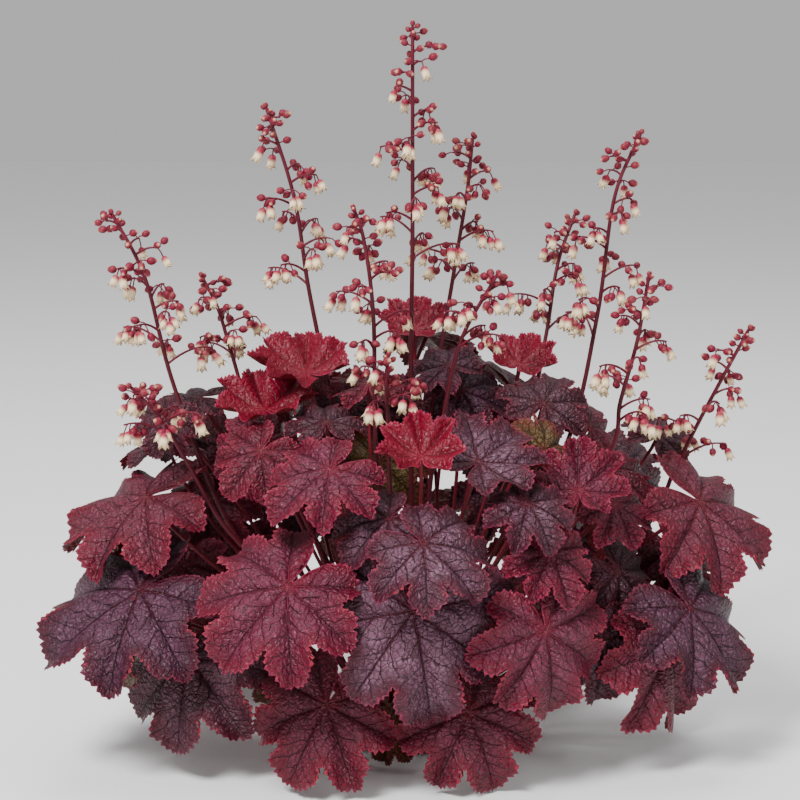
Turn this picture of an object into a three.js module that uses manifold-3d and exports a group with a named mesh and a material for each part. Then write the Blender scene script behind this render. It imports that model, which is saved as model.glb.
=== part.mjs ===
// Heuchera (coral bells): a clump of lobed leaves and thirteen flower stems on one woody crown.
// Millimetres, +Z up. The origin is the centre of the crown's flat foot, and the front faces -Y.
import * as THREE from 'three';
import { mergeVertices } from 'three/addons/utils/BufferGeometryUtils.js';
import Module from 'manifold-3d';

const wasm = await Module();
wasm.setup();

const vec = (x, y, z) => new THREE.Vector3(x, y, z);

// ---- driving dimensions -------------------------------------------------------------------------
const GAP = 0.3; // air between touching pieces
const CROWN = { radius: 32, height: 30, foot: 29, knob: 0.05, sides: 18, rows: 5 };
const BASE_PITCH = 6.6; // least spacing of the feet of leaves and flower stems on the crown
const SOCKET_DEPTH = 1.5; // a stalk is drawn from this far inside the crown, then trimmed to its skin
const BLADE = { thick: 0.9, ringAt: 0.52 };
const LARGE = 55; // a leaf of this reach or more has its whole outline
const MIDDLING = 50; // one of this reach or more is bent in two steps from its stalk out
const PETIOLE = { radius: 1.35, sides: 4, steps: 3 };
const GROUND = 1.2; // least height of a leaf over the ground
const CLEARANCE = 0.4; // air that a leaf keeps to whatever stands beside it
const SHEATH = 22; // up to here above the crown, the stalks of one shoot run together
const STEM = { radius: 1.7, tip: 1, sides: 4, steps: 5 };
const BRANCH = { radius: 0.75, steps: 2, longest: 26, shortest: 8 };
const BELL = { length: 8.5, mouth: 3.3, belly: 2.6, throat: 2, stalk: 3 };
const BUD = { length: 4.6, belly: 2.1, stalk: 2.2 };
const FLORET_SIDES = 4;
const STALK_RADIUS = 0.45; // a floret's own stalk
const GOLDEN = 137.5; // degrees from one side branch to the next
const MOUND = { x: 152, y: 140, z: 205, middle: [0, 5, 12] }; // shell that the rear leaves lie on

// Finish of each kind of leaf: colour, roughness, how far its lobes bend up (+) or droop (-), and
// for the young red fans the least share of the reach in the notches between the lobes.
const KINDS = {
  silver: { colour: 0x7d5a78, rough: 0.42, bend: -0.55 },
  pink: { colour: 0x9c3f5c, rough: 0.46, bend: -0.5 },
  plum: { colour: 0x64354f, rough: 0.45, bend: -0.55 },
  rose: { colour: 0x7a2c42, rough: 0.48, bend: -0.55 },
  dark: { colour: 0x4a2638, rough: 0.45, bend: -0.6 },
  red: { colour: 0xa01434, rough: 0.4, bend: 0.9, notch: 0.74 },
  old: { colour: 0x4a3a20, rough: 0.6, bend: -0.75 },
};
const FINISH = {
  crown: { colour: 0x3a2418, rough: 0.9 },
  stem: { colour: 0x8c2440, rough: 0.5 },
};

// Half of a blade's outline: degrees from the middle lobe's tip, share of the reach, and whether
// a small leaf has the point too. Shoulders, notches and tips of the lobes follow each other.
const HALF_OUTLINE = [
  [18, 0.87, true], [25, 0.64, true], [32, 0.83, false], [46, 0.95, true], [60, 0.82, true],
  [67, 0.6, true], [75, 0.77, false], [91, 0.86, true], [107, 0.73, true], [114, 0.55, true],
  [127, 0.68, true], [146, 0.66, true], [162, 0.5, false], [172, 0.28, false],
];
const LOBES = [-136, -91, -45, 0, 45, 91, 136]; // degrees of the main veins
const SINUS_DEPTH = 0.06; // how far the blade runs on behind its stalk, as a share of the reach

// Leaves of the front and sides: node, kind, where the stalk meets the blade, the compass angle
// that the blade faces, how far it faces up, how far its middle lobe is turned from straight down
// the slope (all in degrees), the reach from the stalk to that lobe's tip, and for some a bend of
// their own.
const LEAVES = [
  ['leaf_01', 'silver', [4, -120, 106], 272, 18, 10, 64],
  ['leaf_02', 'silver', [9, -128, 143], 280, 52, 42, 44],
  ['leaf_03', 'pink', [-60, -118, 118], 260, 34, -38, 56],
  ['leaf_04', 'plum', [-141, -65, 103], 242, 48, -45, 66],
  ['leaf_05', 'dark', [-119, -72, 68], 250, 16, 0, 55],
  ['leaf_06', 'rose', [-41, -95, 49], 262, 28, -25, 50],
  ['leaf_07', 'rose', [33, -95, 45], 278, 26, 20, 46],
  ['leaf_08', 'pink', [70, -106, 90], 298, 24, 12, 51],
  ['leaf_09', 'dark', [104, -74, 78], 290, 14, 0, 39],
  ['leaf_10', 'rose', [141, -62, 73], 310, 16, 15, 54],
  ['leaf_11', 'plum', [152, -62, 92], 308, 42, 30, 54],
  ['leaf_12', 'rose', [154, -22, 131], 312, 52, 40, 56],
  ['leaf_13', 'rose', [-140, -31, 146], 228, 54, -50, 58],
  ['leaf_14', 'pink', [-39, -94, 174], 262, 58, -45, 42],
  ['leaf_15', 'silver', [-17, -96, 146], 262, 44, -40, 37],
  ['leaf_16', 'silver', [38, -84, 176], 285, 58, 130, 41, 0.3],
  ['leaf_17', 'silver', [63, -99, 157], 285, 60, 20, 31],
  ['leaf_18', 'pink', [74, -97, 131], 288, 40, 15, 32],
  ['leaf_19', 'red', [8, -92, 177], 270, 55, -175, 28],
  ['leaf_20', 'pink', [91, -71, 158], 275, 60, 175, 33, 0.6],
  ['leaf_21', 'dark', [121, -62, 121], 310, 42, 40, 31],
  ['leaf_22', 'red', [-75, -31, 194], 265, 74, -160, 33],
  ['leaf_23', 'red', [-54, -12, 211], 270, 72, -135, 36],
  ['leaf_24', 'pink', [-92, -23, 187], 250, 50, -40, 36],
  ['leaf_25', 'red', [6, 50, 226], 265, 66, 175, 27],
  ['leaf_26', 'red', [64, 22, 210], 280, 70, 150, 26],
  ['leaf_27', 'dark', [75, -23, 196], 285, 50, 145, 32],
  ['leaf_28', 'rose', [-76, -60, 177], 260, 35, -35, 30],
  ['leaf_29', 'dark', [-115, 25, 191], 240, 70, -70, 30],
  ['leaf_30', 'pink', [112, -50, 146], 295, 45, 10, 27],
  ['leaf_shoot_1', 'old', [-149, -41, 64], 230, 15, -30, 36],
  ['leaf_shoot_1', 'old', [-159, 16, 126], 160, 15, 20, 32],
  ['leaf_shoot_1', 'rose', [-122, -8, 104], 250, 35, -10, 37],
  ['leaf_shoot_2', 'dark', [-130, 20, 158], 225, 65, -90, 34],
  ['leaf_shoot_2', 'dark', [-116, 2, 173], 250, 40, -15, 26],
  ['leaf_shoot_2', 'rose', [-114, 12, 143], 250, 38, 0, 34],
  ['leaf_shoot_3', 'rose', [101, -8, 181], 320, 35, 125, 28],
  ['leaf_shoot_3', 'old', [74, -53, 176], 300, 30, 155, 26],
  ['leaf_shoot_3', 'rose', [118, -12, 166], 300, 45, 0, 36],
  ['leaf_31', 'old', [-68, -76, 64], 268, 20, -25, 28],
  ['leaf_32', 'old', [-8, -55, 24], 265, 25, -15, 22],
  ['leaf_shoot_4', 'plum', [24, 8, 212], 265, 60, -130, 28],
  ['leaf_shoot_4', 'plum', [32, 8, 205], 280, 55, 115, 32],
  ['leaf_shoot_5', 'dark', [142, 18, 171], 300, 55, 125, 26],
  ['leaf_shoot_5', 'dark', [130, 18, 157], 300, 32, 120, 38],
  ['leaf_shoot_5', 'rose', [136, -22, 118], 300, 40, 20, 38],
  ['leaf_shoot_6', 'dark', [-42, -46, 190], 270, 60, -175, 28],
  ['leaf_shoot_6', 'rose', [-20, -5, 203], 270, 70, -180, 28],
  ['leaf_shoot_6', 'old', [-14, 6, 162], 268, 35, 0, 38],
  ['leaf_shoot_7', 'dark', [-64, 40, 140], 262, 40, -10, 39],
  ['leaf_shoot_7', 'rose', [-98, 30, 106], 245, 35, -20, 39],
  ['leaf_shoot_8', 'dark', [58, 42, 140], 282, 40, 10, 39],
  ['leaf_shoot_8', 'plum', [98, 32, 108], 300, 35, 15, 39],
  ['leaf_shoot_8', 'dark', [116, -14, 84], 305, 25, 0, 34],
  ['leaf_shoot_2', 'rose', [-104, 30, 172], 255, 35, 0, 36],
  ['leaf_shoot_4', 'dark', [10, 34, 188], 270, 35, 0, 34],
  ['leaf_shoot_4', 'rose', [46, 30, 184], 280, 35, 0, 32],
  ['leaf_shoot_6', 'dark', [-28, 34, 182], 265, 35, 0, 34],
];

// Leaves of the rear, in tiers round the shell of the mound: how many, from which compass angle to
// which, how high over the middle and how far they face up (degrees), their reach, how many of them
// one node carries, and their kinds in turn.
const REAR_TIERS = [
  [5, -12, 192, 14, 33, 49, 3, ['plum', 'rose', 'dark']],
  [4, 14, 166, 30, 38, 48, 2, ['pink', 'dark']],
  [3, 18, 162, 47, 48, 47, 3, ['silver', 'rose', 'pink']],
  [3, 10, 170, 65, 60, 38, 3, ['plum', 'silver', 'rose']],
].map(([count, from, to, height, rise, reach, share, kinds]) => (
  { count, from, to, height, rise, reach, share, kinds }));

// Flower stems: the number of side branches, how much of the stem they take, the compass angle of
// the lowest one, and points of the stem from half way up the leaves to its tip.
const STEMS = [
  [7, 0.28, 20, [-95, -3, 120], [-126, -5, 201], [-141, -7, 262], [-158, -8, 297]],
  [4, 0.15, 200, [-96, -36, 129], [-116, -48, 168], [-130, -55, 194], [-144, -60, 211]],
  [5, 0.2, 90, [-81, 29, 164], [-97, 37, 212], [-105, 42, 238], [-114, 45, 256]],
  [7, 0.3, 150, [-40, 13, 189], [-53, 18, 252], [-61, 22, 303], [-76, 25, 352]],
  [6, 0.28, 255, [-16, -20, 175], [-17, -30, 245], [-22, -33, 286], [-27, -35, 302]],
  [9, 0.34, 0, [3, 2, 186], [4, 4, 280], [4, 4, 336], [4, 5, 397]],
  [7, 0.26, 60, [15, 30, 181], [28, 42, 262], [35, 47, 305], [38, 50, 334]],
  [4, 0.18, 330, [15, -15, 160], [21, -18, 189], [30, -22, 230], [49, -25, 266]],
  [5, 0.24, 40, [68, 41, 168], [80, 54, 220], [87, 63, 261], [97, 70, 289]],
  [7, 0.34, 100, [89, 10, 165], [106, 14, 237], [115, 18, 303], [129, 20, 338]],
  [6, 0.3, 300, [109, -24, 165], [116, -28, 198], [124, -34, 232], [129, -40, 267]],
  [5, 0.3, 10, [132, 4, 119], [150, 2, 156], [164, -5, 188], [186, -15, 235]],
  [3, 0.15, 250, [-8, -35, 150], [-9, -49, 188], [-10, -56, 212], [-9, -60, 227]],
].map(([sprays, panicle, turn, ...path], i) => {
  const node = `flower_stem_${String(i + 1).padStart(2, '0')}`;
  return { node, sprays, panicle, turn, path: path.map((p) => vec(...p)) };
});

// ---- small helpers ------------------------------------------------------------------------------
const RAD = Math.PI / 180;
const UP = vec(0, 0, 1);
const mix = (a, b, t) => a + (b - a) * t;

/** A repeatable stream of numbers from 0 to 1. */
function stream(seed) {
  let state = (seed * 2654435761) % 4294967296;
  return () => {
    state = (state * 1664525 + 1013904223) % 4294967296;
    return state / 4294967296;
  };
}

/** Unit vector at a compass angle and a height above the horizontal, both in degrees. */
function heading(azimuth, rise) {
  const flat = Math.cos(rise * RAD);
  return vec(Math.cos(azimuth * RAD) * flat, Math.sin(azimuth * RAD) * flat, Math.sin(rise * RAD));
}

/** Sum of vectors, each times its weight. */
function blend(...terms) {
  return terms.reduce((sum, [vector, weight]) => sum.addScaledVector(vector, weight), vec(0, 0, 0));
}

/** A closed solid from any three.js geometry, with its vertices merged and slivers dropped. */
function solid(geometry) {
  const bare = geometry.clone();
  bare.deleteAttribute('normal');
  bare.deleteAttribute('uv');
  const merged = mergeVertices(bare, 1e-4);
  const index = merged.index.array;
  const kept = [];
  for (let i = 0; i < index.length; i += 3) {
    const [a, b, c] = [index[i], index[i + 1], index[i + 2]];
    if (a !== b && b !== c && c !== a) kept.push(a, b, c);
  }
  const vertProperties = new Float32Array(merged.attributes.position.array);
  return new wasm.Manifold(new wasm.Mesh({ numProp: 3, vertProperties, triVerts: new Uint32Array(kept) }));
}

/** Joins solids and keeps the one body that holds together. */
function fuse(solids) {
  const joined = solids.reduce((whole, next) => whole.add(next));
  const bodies = joined.decompose();
  return bodies.reduce((best, body) => (body.volume() > best.volume() ? body : best));
}

/** The mesh of a finished solid. */
function meshOf(name, body, finish) {
  const { vertProperties, triVerts } = body.getMesh();
  const geometry = new THREE.BufferGeometry();
  geometry.setAttribute('position', new THREE.BufferAttribute(vertProperties, 3));
  geometry.setIndex(new THREE.BufferAttribute(triVerts, 1));
  geometry.computeVertexNormals();
  const { colour: color, rough: roughness } = finish;
  const mesh = new THREE.Mesh(geometry, new THREE.MeshStandardMaterial({ color, roughness, metalness: 0 }));
  mesh.name = name;
  return mesh;
}

/** Rings of points round a curve, in order of its length; radii holds one radius for each ring. */
function ringsAlong(curve, radii, sides) {
  const last = radii.length - 1;
  const frames = curve.computeFrenetFrames(last);
  return radii.map((radius, k) => Array.from({ length: sides }, (_, i) => {
    const angle = (i / sides) * 2 * Math.PI;
    return curve.getPointAt(k / last)
      .addScaledVector(frames.normals[k], radius * Math.cos(angle))
      .addScaledVector(frames.binormals[k], radius * Math.sin(angle));
  }));
}

/** Faces of the walls between rings of point numbers, and of the flat cap under the first. */
function wallFaces(rings) {
  const faces = [];
  for (let k = 1; k < rings.length; k += 1) {
    const [low, high] = [rings[k - 1], rings[k]];
    low.forEach((v, i) => {
      const next = (i + 1) % low.length;
      faces.push([v, low[next], high[next]], [v, high[next], high[i]]);
    });
  }
  for (let i = 2; i < rings[0].length; i += 1) faces.push([rings[0][0], rings[0][i], rings[0][i - 1]]);
  return faces;
}

/** A closed skin over rings of points, flat at the first and drawn to a point past the last. */
function loft(rings, apex) {
  const numbers = rings.map((ring, k) => ring.map((_, i) => k * ring.length + i));
  const end = rings.length * rings[0].length;
  const top = numbers.at(-1);
  const faces = [...wallFaces(numbers), ...top.map((v, i) => [v, top[(i + 1) % top.length], end])];
  return closed([...rings.flat(), apex], faces);
}

/** Solid from points and faces. */
function closed(points, faces) {
  const geometry = new THREE.BufferGeometry().setFromPoints(points);
  geometry.setIndex(faces.flat());
  return solid(geometry);
}

// ---- crown --------------------------------------------------------------------------------------
/** Point of the crown's skin towards a heading, without its knobs. */
function crownSkin(direction) {
  const scaled = vec(direction.x / CROWN.radius, direction.y / CROWN.radius, direction.z / CROWN.height);
  return direction.clone().divideScalar(scaled.length());
}

/** The woody rootstock: a squat knobbly dome with a flat foot. `grow` swells it on all sides. */
function crownGeometry(grow) {
  const radius = CROWN.radius + grow;
  const height = CROWN.height + grow;
  const profile = [new THREE.Vector2(0, -grow), new THREE.Vector2(CROWN.foot + grow, -grow)];
  for (let i = 1; i < CROWN.rows; i += 1) {
    const angle = (i / CROWN.rows) * 90 * RAD;
    profile.push(new THREE.Vector2(radius * Math.cos(angle * 0.92 - 0.1), height * Math.sin(angle)));
  }
  profile.push(new THREE.Vector2(0, height));
  const dome = new THREE.LatheGeometry(profile, CROWN.sides).rotateX(Math.PI / 2);
  const place = dome.attributes.position;
  for (let i = 0; i < place.count; i += 1) {
    const [x, y, z] = [place.getX(i), place.getY(i), place.getZ(i)];
    const knob = 1 + CROWN.knob * Math.sin(Math.atan2(y, x) * 5 + z * 0.3) * Math.min(1, z / 6);
    place.setXYZ(i, x * knob, y * knob, z);
  }
  return dome;
}

// ---- where the stalks spring from ---------------------------------------------------------------
/** First guess of a foot on the crown, below the direction that its stalk leads in. */
function firstFoot(target) {
  const out = target.clone().sub(vec(0, 0, 8)).normalize();
  const rise = Math.asin(out.z) / RAD;
  return crownSkin(heading(Math.atan2(out.y, out.x) / RAD, mix(14, 76, Math.max(0, rise) / 90)));
}

/** Moves the feet apart over the crown until none stand closer than the pitch. */
function spreadFeet(feet) {
  for (let round = 0; round < 120; round += 1) {
    for (let i = 0; i < feet.length; i += 1) {
      for (let j = i + 1; j < feet.length; j += 1) {
        const apart = feet[i].clone().sub(feet[j]);
        const lack = BASE_PITCH - apart.length();
        if (lack <= 0) continue;
        apart.setLength(lack * 0.5);
        feet[i] = crownSkin(feet[i].clone().add(apart).setZ(Math.max(6, feet[i].z + apart.z)));
        feet[j] = crownSkin(feet[j].clone().sub(apart).setZ(Math.max(6, feet[j].z - apart.z)));
      }
    }
  }
  return feet;
}

/** Outward direction of the crown's skin at a foot. */
function skinNormal(foot) {
  const [wide, high] = [CROWN.radius ** 2, CROWN.height ** 2];
  return vec(foot.x / wide, foot.y / wide, foot.z / high).normalize();
}

// ---- leaves -------------------------------------------------------------------------------------
/** All leaves: the named ones, then the rear tiers laid over the shell of the mound. */
function allLeaves() {
  const leaves = LEAVES.map(([node, kind, at, faces, rise, spin, reach, bend = KINDS[kind].bend]) => (
    { node, kind, at: vec(...at), faces, rise, spin, reach, bend }));
  REAR_TIERS.forEach((tier, row) => {
    for (let i = 0; i < tier.count; i += 1) {
      const around = mix(tier.from, tier.to, (i + 0.5) / tier.count) + 4 * Math.sin(i * 2.4 + row);
      const out = heading(around, tier.height + 3 * Math.sin(i * 1.9 + row * 2));
      const at = vec(out.x * MOUND.x, out.y * MOUND.y, out.z * MOUND.z).add(vec(...MOUND.middle));
      const kind = tier.kinds[i % tier.kinds.length];
      leaves.push({
        node: `leaf_rear_${row + 1}${'ab'[Math.floor(i / tier.share)]}`,
        kind,
        at,
        faces: around,
        rise: tier.rise,
        spin: 25 * Math.sin(i * 1.3 + row),
        reach: tier.reach * (1 + 0.1 * Math.sin(i * 2.7 + row)),
        bend: KINDS[kind].bend,
      });
    }
  });
  leaves.forEach((leaf, seed) => Object.assign(leaf, { seed }));
  return leaves;
}

/** The blade's own axes: `face` out of its upper side, `lobe` along the middle lobe, `side`. */
function bladeAxes(leaf) {
  const face = heading(leaf.faces, leaf.rise);
  const lobe = heading(leaf.faces, leaf.rise - 90).applyAxisAngle(face, leaf.spin * RAD);
  return { face, lobe, side: face.clone().cross(lobe) };
}

/** How a leaf differs from the pattern: shape of its lobes, and the waves of its blade. */
function bladeHabit(leaf) {
  const draw = stream(leaf.seed + 11);
  return {
    bend: leaf.bend,
    ruffle: 0.2 + 0.12 * draw(),
    lean: 0.16 * draw(),
    leanTo: 360 * draw(),
    twist: 0.12 + 0.16 * draw(),
    twistTo: 360 * draw(),
    lobeLength: LOBES.map(() => 0.94 + 0.12 * draw()),
  };
}

/** Point of the upper side, at a share of the reach and an angle from the middle lobe. Each line
 * from the stalk to the edge is an arc, so that a blade bends without stretching. */
function bladePoint(leaf, axes, habit, share, angle) {
  const bend = habit.bend
    - habit.ruffle * Math.cos(angle * RAD * (360 / 46))
    + habit.lean * Math.cos((angle - habit.leanTo) * RAD)
    + habit.twist * Math.cos((2 * angle - habit.twistTo) * RAD);
  const turn = Math.abs(bend * share) < 1e-3 ? 1e-3 : bend * share;
  const flat = leaf.reach * share * (Math.sin(turn) / turn);
  const lift = leaf.reach * share * ((1 - Math.cos(turn)) / turn);
  return leaf.at.clone()
    .addScaledVector(axes.lobe, flat * Math.cos(angle * RAD))
    .addScaledVector(axes.side, flat * Math.sin(angle * RAD))
    .addScaledVector(axes.face, lift);
}

/** Share of the reach at which a lobe's own length applies, blended between neighbouring lobes. */
function lobeLengthAt(habit, angle) {
  const place = THREE.MathUtils.clamp((angle + 136) / 45.33, 0, 5.999);
  const low = Math.floor(place);
  return mix(habit.lobeLength[low], habit.lobeLength[low + 1], place - low);
}

/** The blade's outline as [angle, share] pairs, from one side of the stalk round to the other. */
function bladeOutline(leaf, habit) {
  const half = HALF_OUTLINE.filter(([, , small]) => leaf.reach >= LARGE || small);
  const { notch = 0 } = KINDS[leaf.kind];
  const filled = half.map(([a, r]) => [a, a < 120 ? Math.max(r, notch) : r]);
  const points = [...filled.map(([a, r]) => [-a, r]).reverse(), [0, 1], ...filled];
  return points.map(([a, r]) => [a, r * lobeLengthAt(habit, a)]);
}

/** Triangles between an outer and an inner row of points, both sorted by angle. Rows that are
 * loops end with their first point again. */
function zip(outer, inner) {
  const faces = [];
  let [o, i] = [0, 0];
  while (o < outer.length - 1 || i < inner.length - 1) {
    const outerNext = i === inner.length - 1 || (o < outer.length - 1
      && outer[o].angle + outer[o + 1].angle <= inner[i].angle + inner[i + 1].angle);
    if (outerNext) faces.push([inner[i].id, outer[o].id, outer[(o += 1)].id]);
    else faces.push([inner[i].id, outer[o].id, inner[(i += 1)].id]);
  }
  return faces;
}

/** The member of a loop that comes after number `k`. */
const following = (loop, k) => loop[(k + 1) % loop.length];

/** The loop closed by its own first point, one turn on. */
const looped = (row) => [...row, { id: row[0].id, angle: row[0].angle + 360 }];

/** Points of a blade's pattern: hub, inner ring, outline and heel, with the faces between them.
 * The faces round the hub are left out, and `collar` is the loop that they would join to it. */
function bladePattern(leaf, habit) {
  const ringed = leaf.reach >= MIDDLING ? LOBES : [];
  const ring = ringed.map((angle) => ({ angle, share: BLADE.ringAt * (angle ? 0.86 : 1) }));
  const outline = bladeOutline(leaf, habit).map(([angle, share]) => ({ angle, share }));
  const points = [{ angle: 0, share: 0 }, ...ring, ...outline, { angle: 180, share: SINUS_DEPTH }];
  points.forEach((point, id) => Object.assign(point, { id }));
  const broad = outline.filter(({ angle }) => Math.abs(angle) <= 160);
  const heel = points.at(-1);
  const left = outline.filter(({ angle }) => angle < -160);
  const right = outline.filter(({ angle }) => angle > 160);
  const inner = ring.length ? [broad[0], ...ring, broad.at(-1)] : broad;
  const faces = ring.length ? zip(broad, ring) : [];
  return { points, faces, collar: [...left, ...inner, ...right, heel], rim: [...outline, heel] };
}

/** One leaf as a closed solid: the blade, split into triangles alike on both faces, and the stalk
 * that runs from its underside to its foot. `swell` thickens both. */
function leafSolid(leaf, foot, bow, swell) {
  const [axes, habit] = [bladeAxes(leaf), bladeHabit(leaf)];
  const pattern = bladePattern(leaf, habit);
  const middle = pattern.points.map(({ angle, share }) => bladePoint(leaf, axes, habit, share, angle));
  const hubFaces = pattern.collar.map(({ id }, k) => [0, id, following(pattern.collar, k).id]);
  const half = halfThickness(middle, [...pattern.faces, ...hubFaces], BLADE.thick / 2 + swell);
  const count = middle.length;
  const radii = Array(PETIOLE.steps + 1).fill(PETIOLE.radius + swell);
  const stalkRings = ringsAlong(petioleCurve(leaf, foot, bow), radii, PETIOLE.sides);
  const points = [
    ...middle.map((p, i) => p.clone().add(half[i])),
    ...middle.map((p, i) => p.clone().sub(half[i])),
    ...stalkRings.flat(),
  ];
  const numbers = stalkRings.map((ring, k) => ring.map((_, i) => 2 * count + k * PETIOLE.sides + i));
  const socketRow = byAngle(numbers.at(-1), points, leaf.at, axes);
  const collar = pattern.collar.map(({ id, angle }) => ({ id: id + count, angle }));
  const under = [
    ...pattern.faces.map(([a, b, c]) => [a + count, c + count, b + count]),
    ...zip(looped(collar), looped(socketRow)).map(([a, b, c]) => [a, c, b]),
  ];
  const band = pattern.rim.flatMap(({ id: a }, k) => {
    const b = following(pattern.rim, k).id;
    return [[a, a + count, b], [b, a + count, b + count]];
  });
  return closed(points, [...pattern.faces, ...hubFaces, ...under, ...band, ...wallFaces(numbers)]);
}

/** Half the blade's thickness at each of its points, square to the blade there. */
function halfThickness(points, faces, amount) {
  const normals = points.map(() => vec(0, 0, 0));
  for (const [a, b, c] of faces) {
    const across = points[b].clone().sub(points[a]).cross(points[c].clone().sub(points[a]));
    for (const v of [a, b, c]) normals[v].add(across);
  }
  return normals.map((n) => n.normalize().multiplyScalar(amount));
}

/** A ring's point numbers with their angle from the middle lobe, in the ring's own order and always
 * rising, from the least angle on. */
function byAngle(numbers, points, hub, axes) {
  const row = numbers.map((id) => {
    const from = points[id].clone().sub(hub);
    return { id, angle: Math.atan2(from.dot(axes.side), from.dot(axes.lobe)) / RAD };
  });
  const first = row.reduce((least, { angle }, i) => (angle < row[least].angle ? i : least), 0);
  const rising = row.map((_, i) => row[(first + i) % row.length]);
  rising.forEach((point, i) => {
    if (i) point.angle = Math.max(point.angle, rising[i - 1].angle + 1);
  });
  return rising;
}

/** The stalk's course from its foot on the crown to the blade; `bow` swings it [aside, up] in mm. */
function petioleCurve(leaf, foot, bow) {
  const axes = bladeAxes(leaf);
  const normal = skinNormal(foot);
  const from = foot.clone().addScaledVector(normal, -SOCKET_DEPTH);
  const reach = leaf.at.distanceTo(foot);
  const arrive = blend([axes.face, 0.8], [axes.lobe, 0.35], [UP, 0.3]).normalize();
  const across = leaf.at.clone().sub(foot).cross(UP).normalize();
  const aside = blend([across, bow[0]], [UP, bow[1]]);
  const leave = blend([normal, 0.8], [UP, 0.35]).normalize();
  const low = foot.clone().addScaledVector(leave, reach * 0.36).addScaledVector(aside, 0.4);
  const high = leaf.at.clone().addScaledVector(arrive, -reach * 0.3).add(aside);
  const under = leaf.at.clone().addScaledVector(axes.face, -BLADE.thick);
  return new THREE.CubicBezierCurve3(from, low, high, under);
}

// A leaf that would cross its neighbours is tried again with these changes, in this order: shifted
// sideways (mm), pushed out or in along the way it faces (mm), tilted up or down (degrees), and with
// its stalk bowed [aside, up] (mm).
const SHIFTS = [0, 9, -9, 18, -18];
const PUSHES = [0, 5, -5, 10, -10, 15, -15, 20, -20];
const NODS = [0, 8, -8, 16, -16];
const BOWS = [
  [0, 0], [9, 0], [-9, 0], [0, 9], [18, 0], [-18, 0], [9, 9], [-9, 9], [0, -9], [27, 0], [-27, 0],
  [18, 9], [-18, 9], [36, 0], [-36, 0],
];

/** The leaf shifted, pushed out and tilted by the given amounts. */
function moved(leaf, shift, push, nod) {
  const aside = blend([heading(leaf.faces + 90, 0), shift], [heading(leaf.faces, leaf.rise), push]);
  return { ...leaf, rise: leaf.rise + nod, at: aside.add(leaf.at) };
}

/** All the leaf's changed places, in the order that they are tried in. */
function trials(leaf) {
  return SHIFTS.flatMap((shift) => (
    PUSHES.flatMap((push) => NODS.map((nod) => moved(leaf, shift, push, nod)))));
}

/** True when two boxes meet. */
function boxesMeet(a, b) {
  return [0, 1, 2].every((k) => a.min[k] <= b.max[k] && b.min[k] <= a.max[k]);
}

/** True when a body stays off the ground and crosses none of the bodies placed before it. */
function isClear(body, placed) {
  const box = body.boundingBox();
  if (box.min[2] < GROUND) return false;
  return placed.every((other) => !boxesMeet(box, other.box) || body.intersect(other.body).volume() < 1e-6);
}

/** The first change that brings the whole leaf clear of its neighbours, its stalk included. */
function settleLeaf(leaf, foot, placed) {
  for (const trial of trials(leaf)) {
    for (const bow of BOWS) {
      if (isClear(leafSolid(trial, foot, bow, CLEARANCE), placed)) return { leaf: trial, bow };
    }
  }
  throw new Error(`${leaf.node} finds no room`);
}

// ---- flower stems -------------------------------------------------------------------------------
/** The stem's course: up from its foot, then through its own points. */
function stemCurve(stem, foot) {
  const from = foot.clone().addScaledVector(skinNormal(foot), -SOCKET_DEPTH);
  const first = stem.path[0];
  const rise = foot.clone().lerp(first, 0.45).add(vec(0, 0, first.distanceTo(foot) * 0.06));
  return new THREE.CatmullRomCurve3([from, rise, ...stem.path], false, 'catmullrom', 0.5);
}

/** Rings of a floret past its stalk, and the point that closes it: an open bell or a closed bud. */
function floretRings(open, at, axis) {
  const { length, belly } = open ? BELL : BUD;
  const turn = new THREE.Quaternion().setFromUnitVectors(UP, axis);
  const ring = (radius, along) => Array.from({ length: FLORET_SIDES }, (_, i) => {
    const angle = (i / FLORET_SIDES) * 2 * Math.PI;
    return vec(radius * Math.cos(angle), radius * Math.sin(angle), along).applyQuaternion(turn).add(at);
  });
  const rings = [ring(belly, length * 0.4)];
  if (open) rings.push(ring(BELL.mouth, length));
  const apex = at.clone().addScaledVector(axis, length - (open ? BELL.throat : 0));
  return { neck: ring(STALK_RADIUS, 0), rings, apex };
}

/** A floret on its own stalk, which springs from `root`. */
function stalkedFloret(open, root, axis) {
  const at = root.clone().addScaledVector(axis, open ? BELL.stalk : BUD.stalk);
  const { neck, rings, apex } = floretRings(open, at, axis);
  const foot = neck.map((p) => p.clone().addScaledVector(axis, root.distanceTo(at) * -1));
  return loft([foot, ...rings], apex);
}

/** Point at a share of the faceted stem's length, on the line through the middle of its rings. */
function onSpine(curve, along) {
  const place = Math.min(along, 0.9999) * STEM.steps;
  const low = Math.floor(place);
  return curve.getPointAt(low / STEM.steps).lerp(curve.getPointAt((low + 1) / STEM.steps), place - low);
}

/** Course of one side branch: out and up, then nodding. */
function sprayCurve(stem, curve, k) {
  const share = k / stem.sprays;
  const root = onSpine(curve, 1 - stem.panicle * (1 - share));
  const out = heading(stem.turn + GOLDEN * k, 0);
  const length = mix(BRANCH.longest, BRANCH.shortest, share);
  const elbow = root.clone().addScaledVector(out, length * 0.55).addScaledVector(UP, length * 0.42);
  const tip = root.clone().addScaledVector(out, length).addScaledVector(UP, length * 0.3);
  return { out, share, curve: new THREE.QuadraticBezierCurve3(root, elbow, tip) };
}

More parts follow.
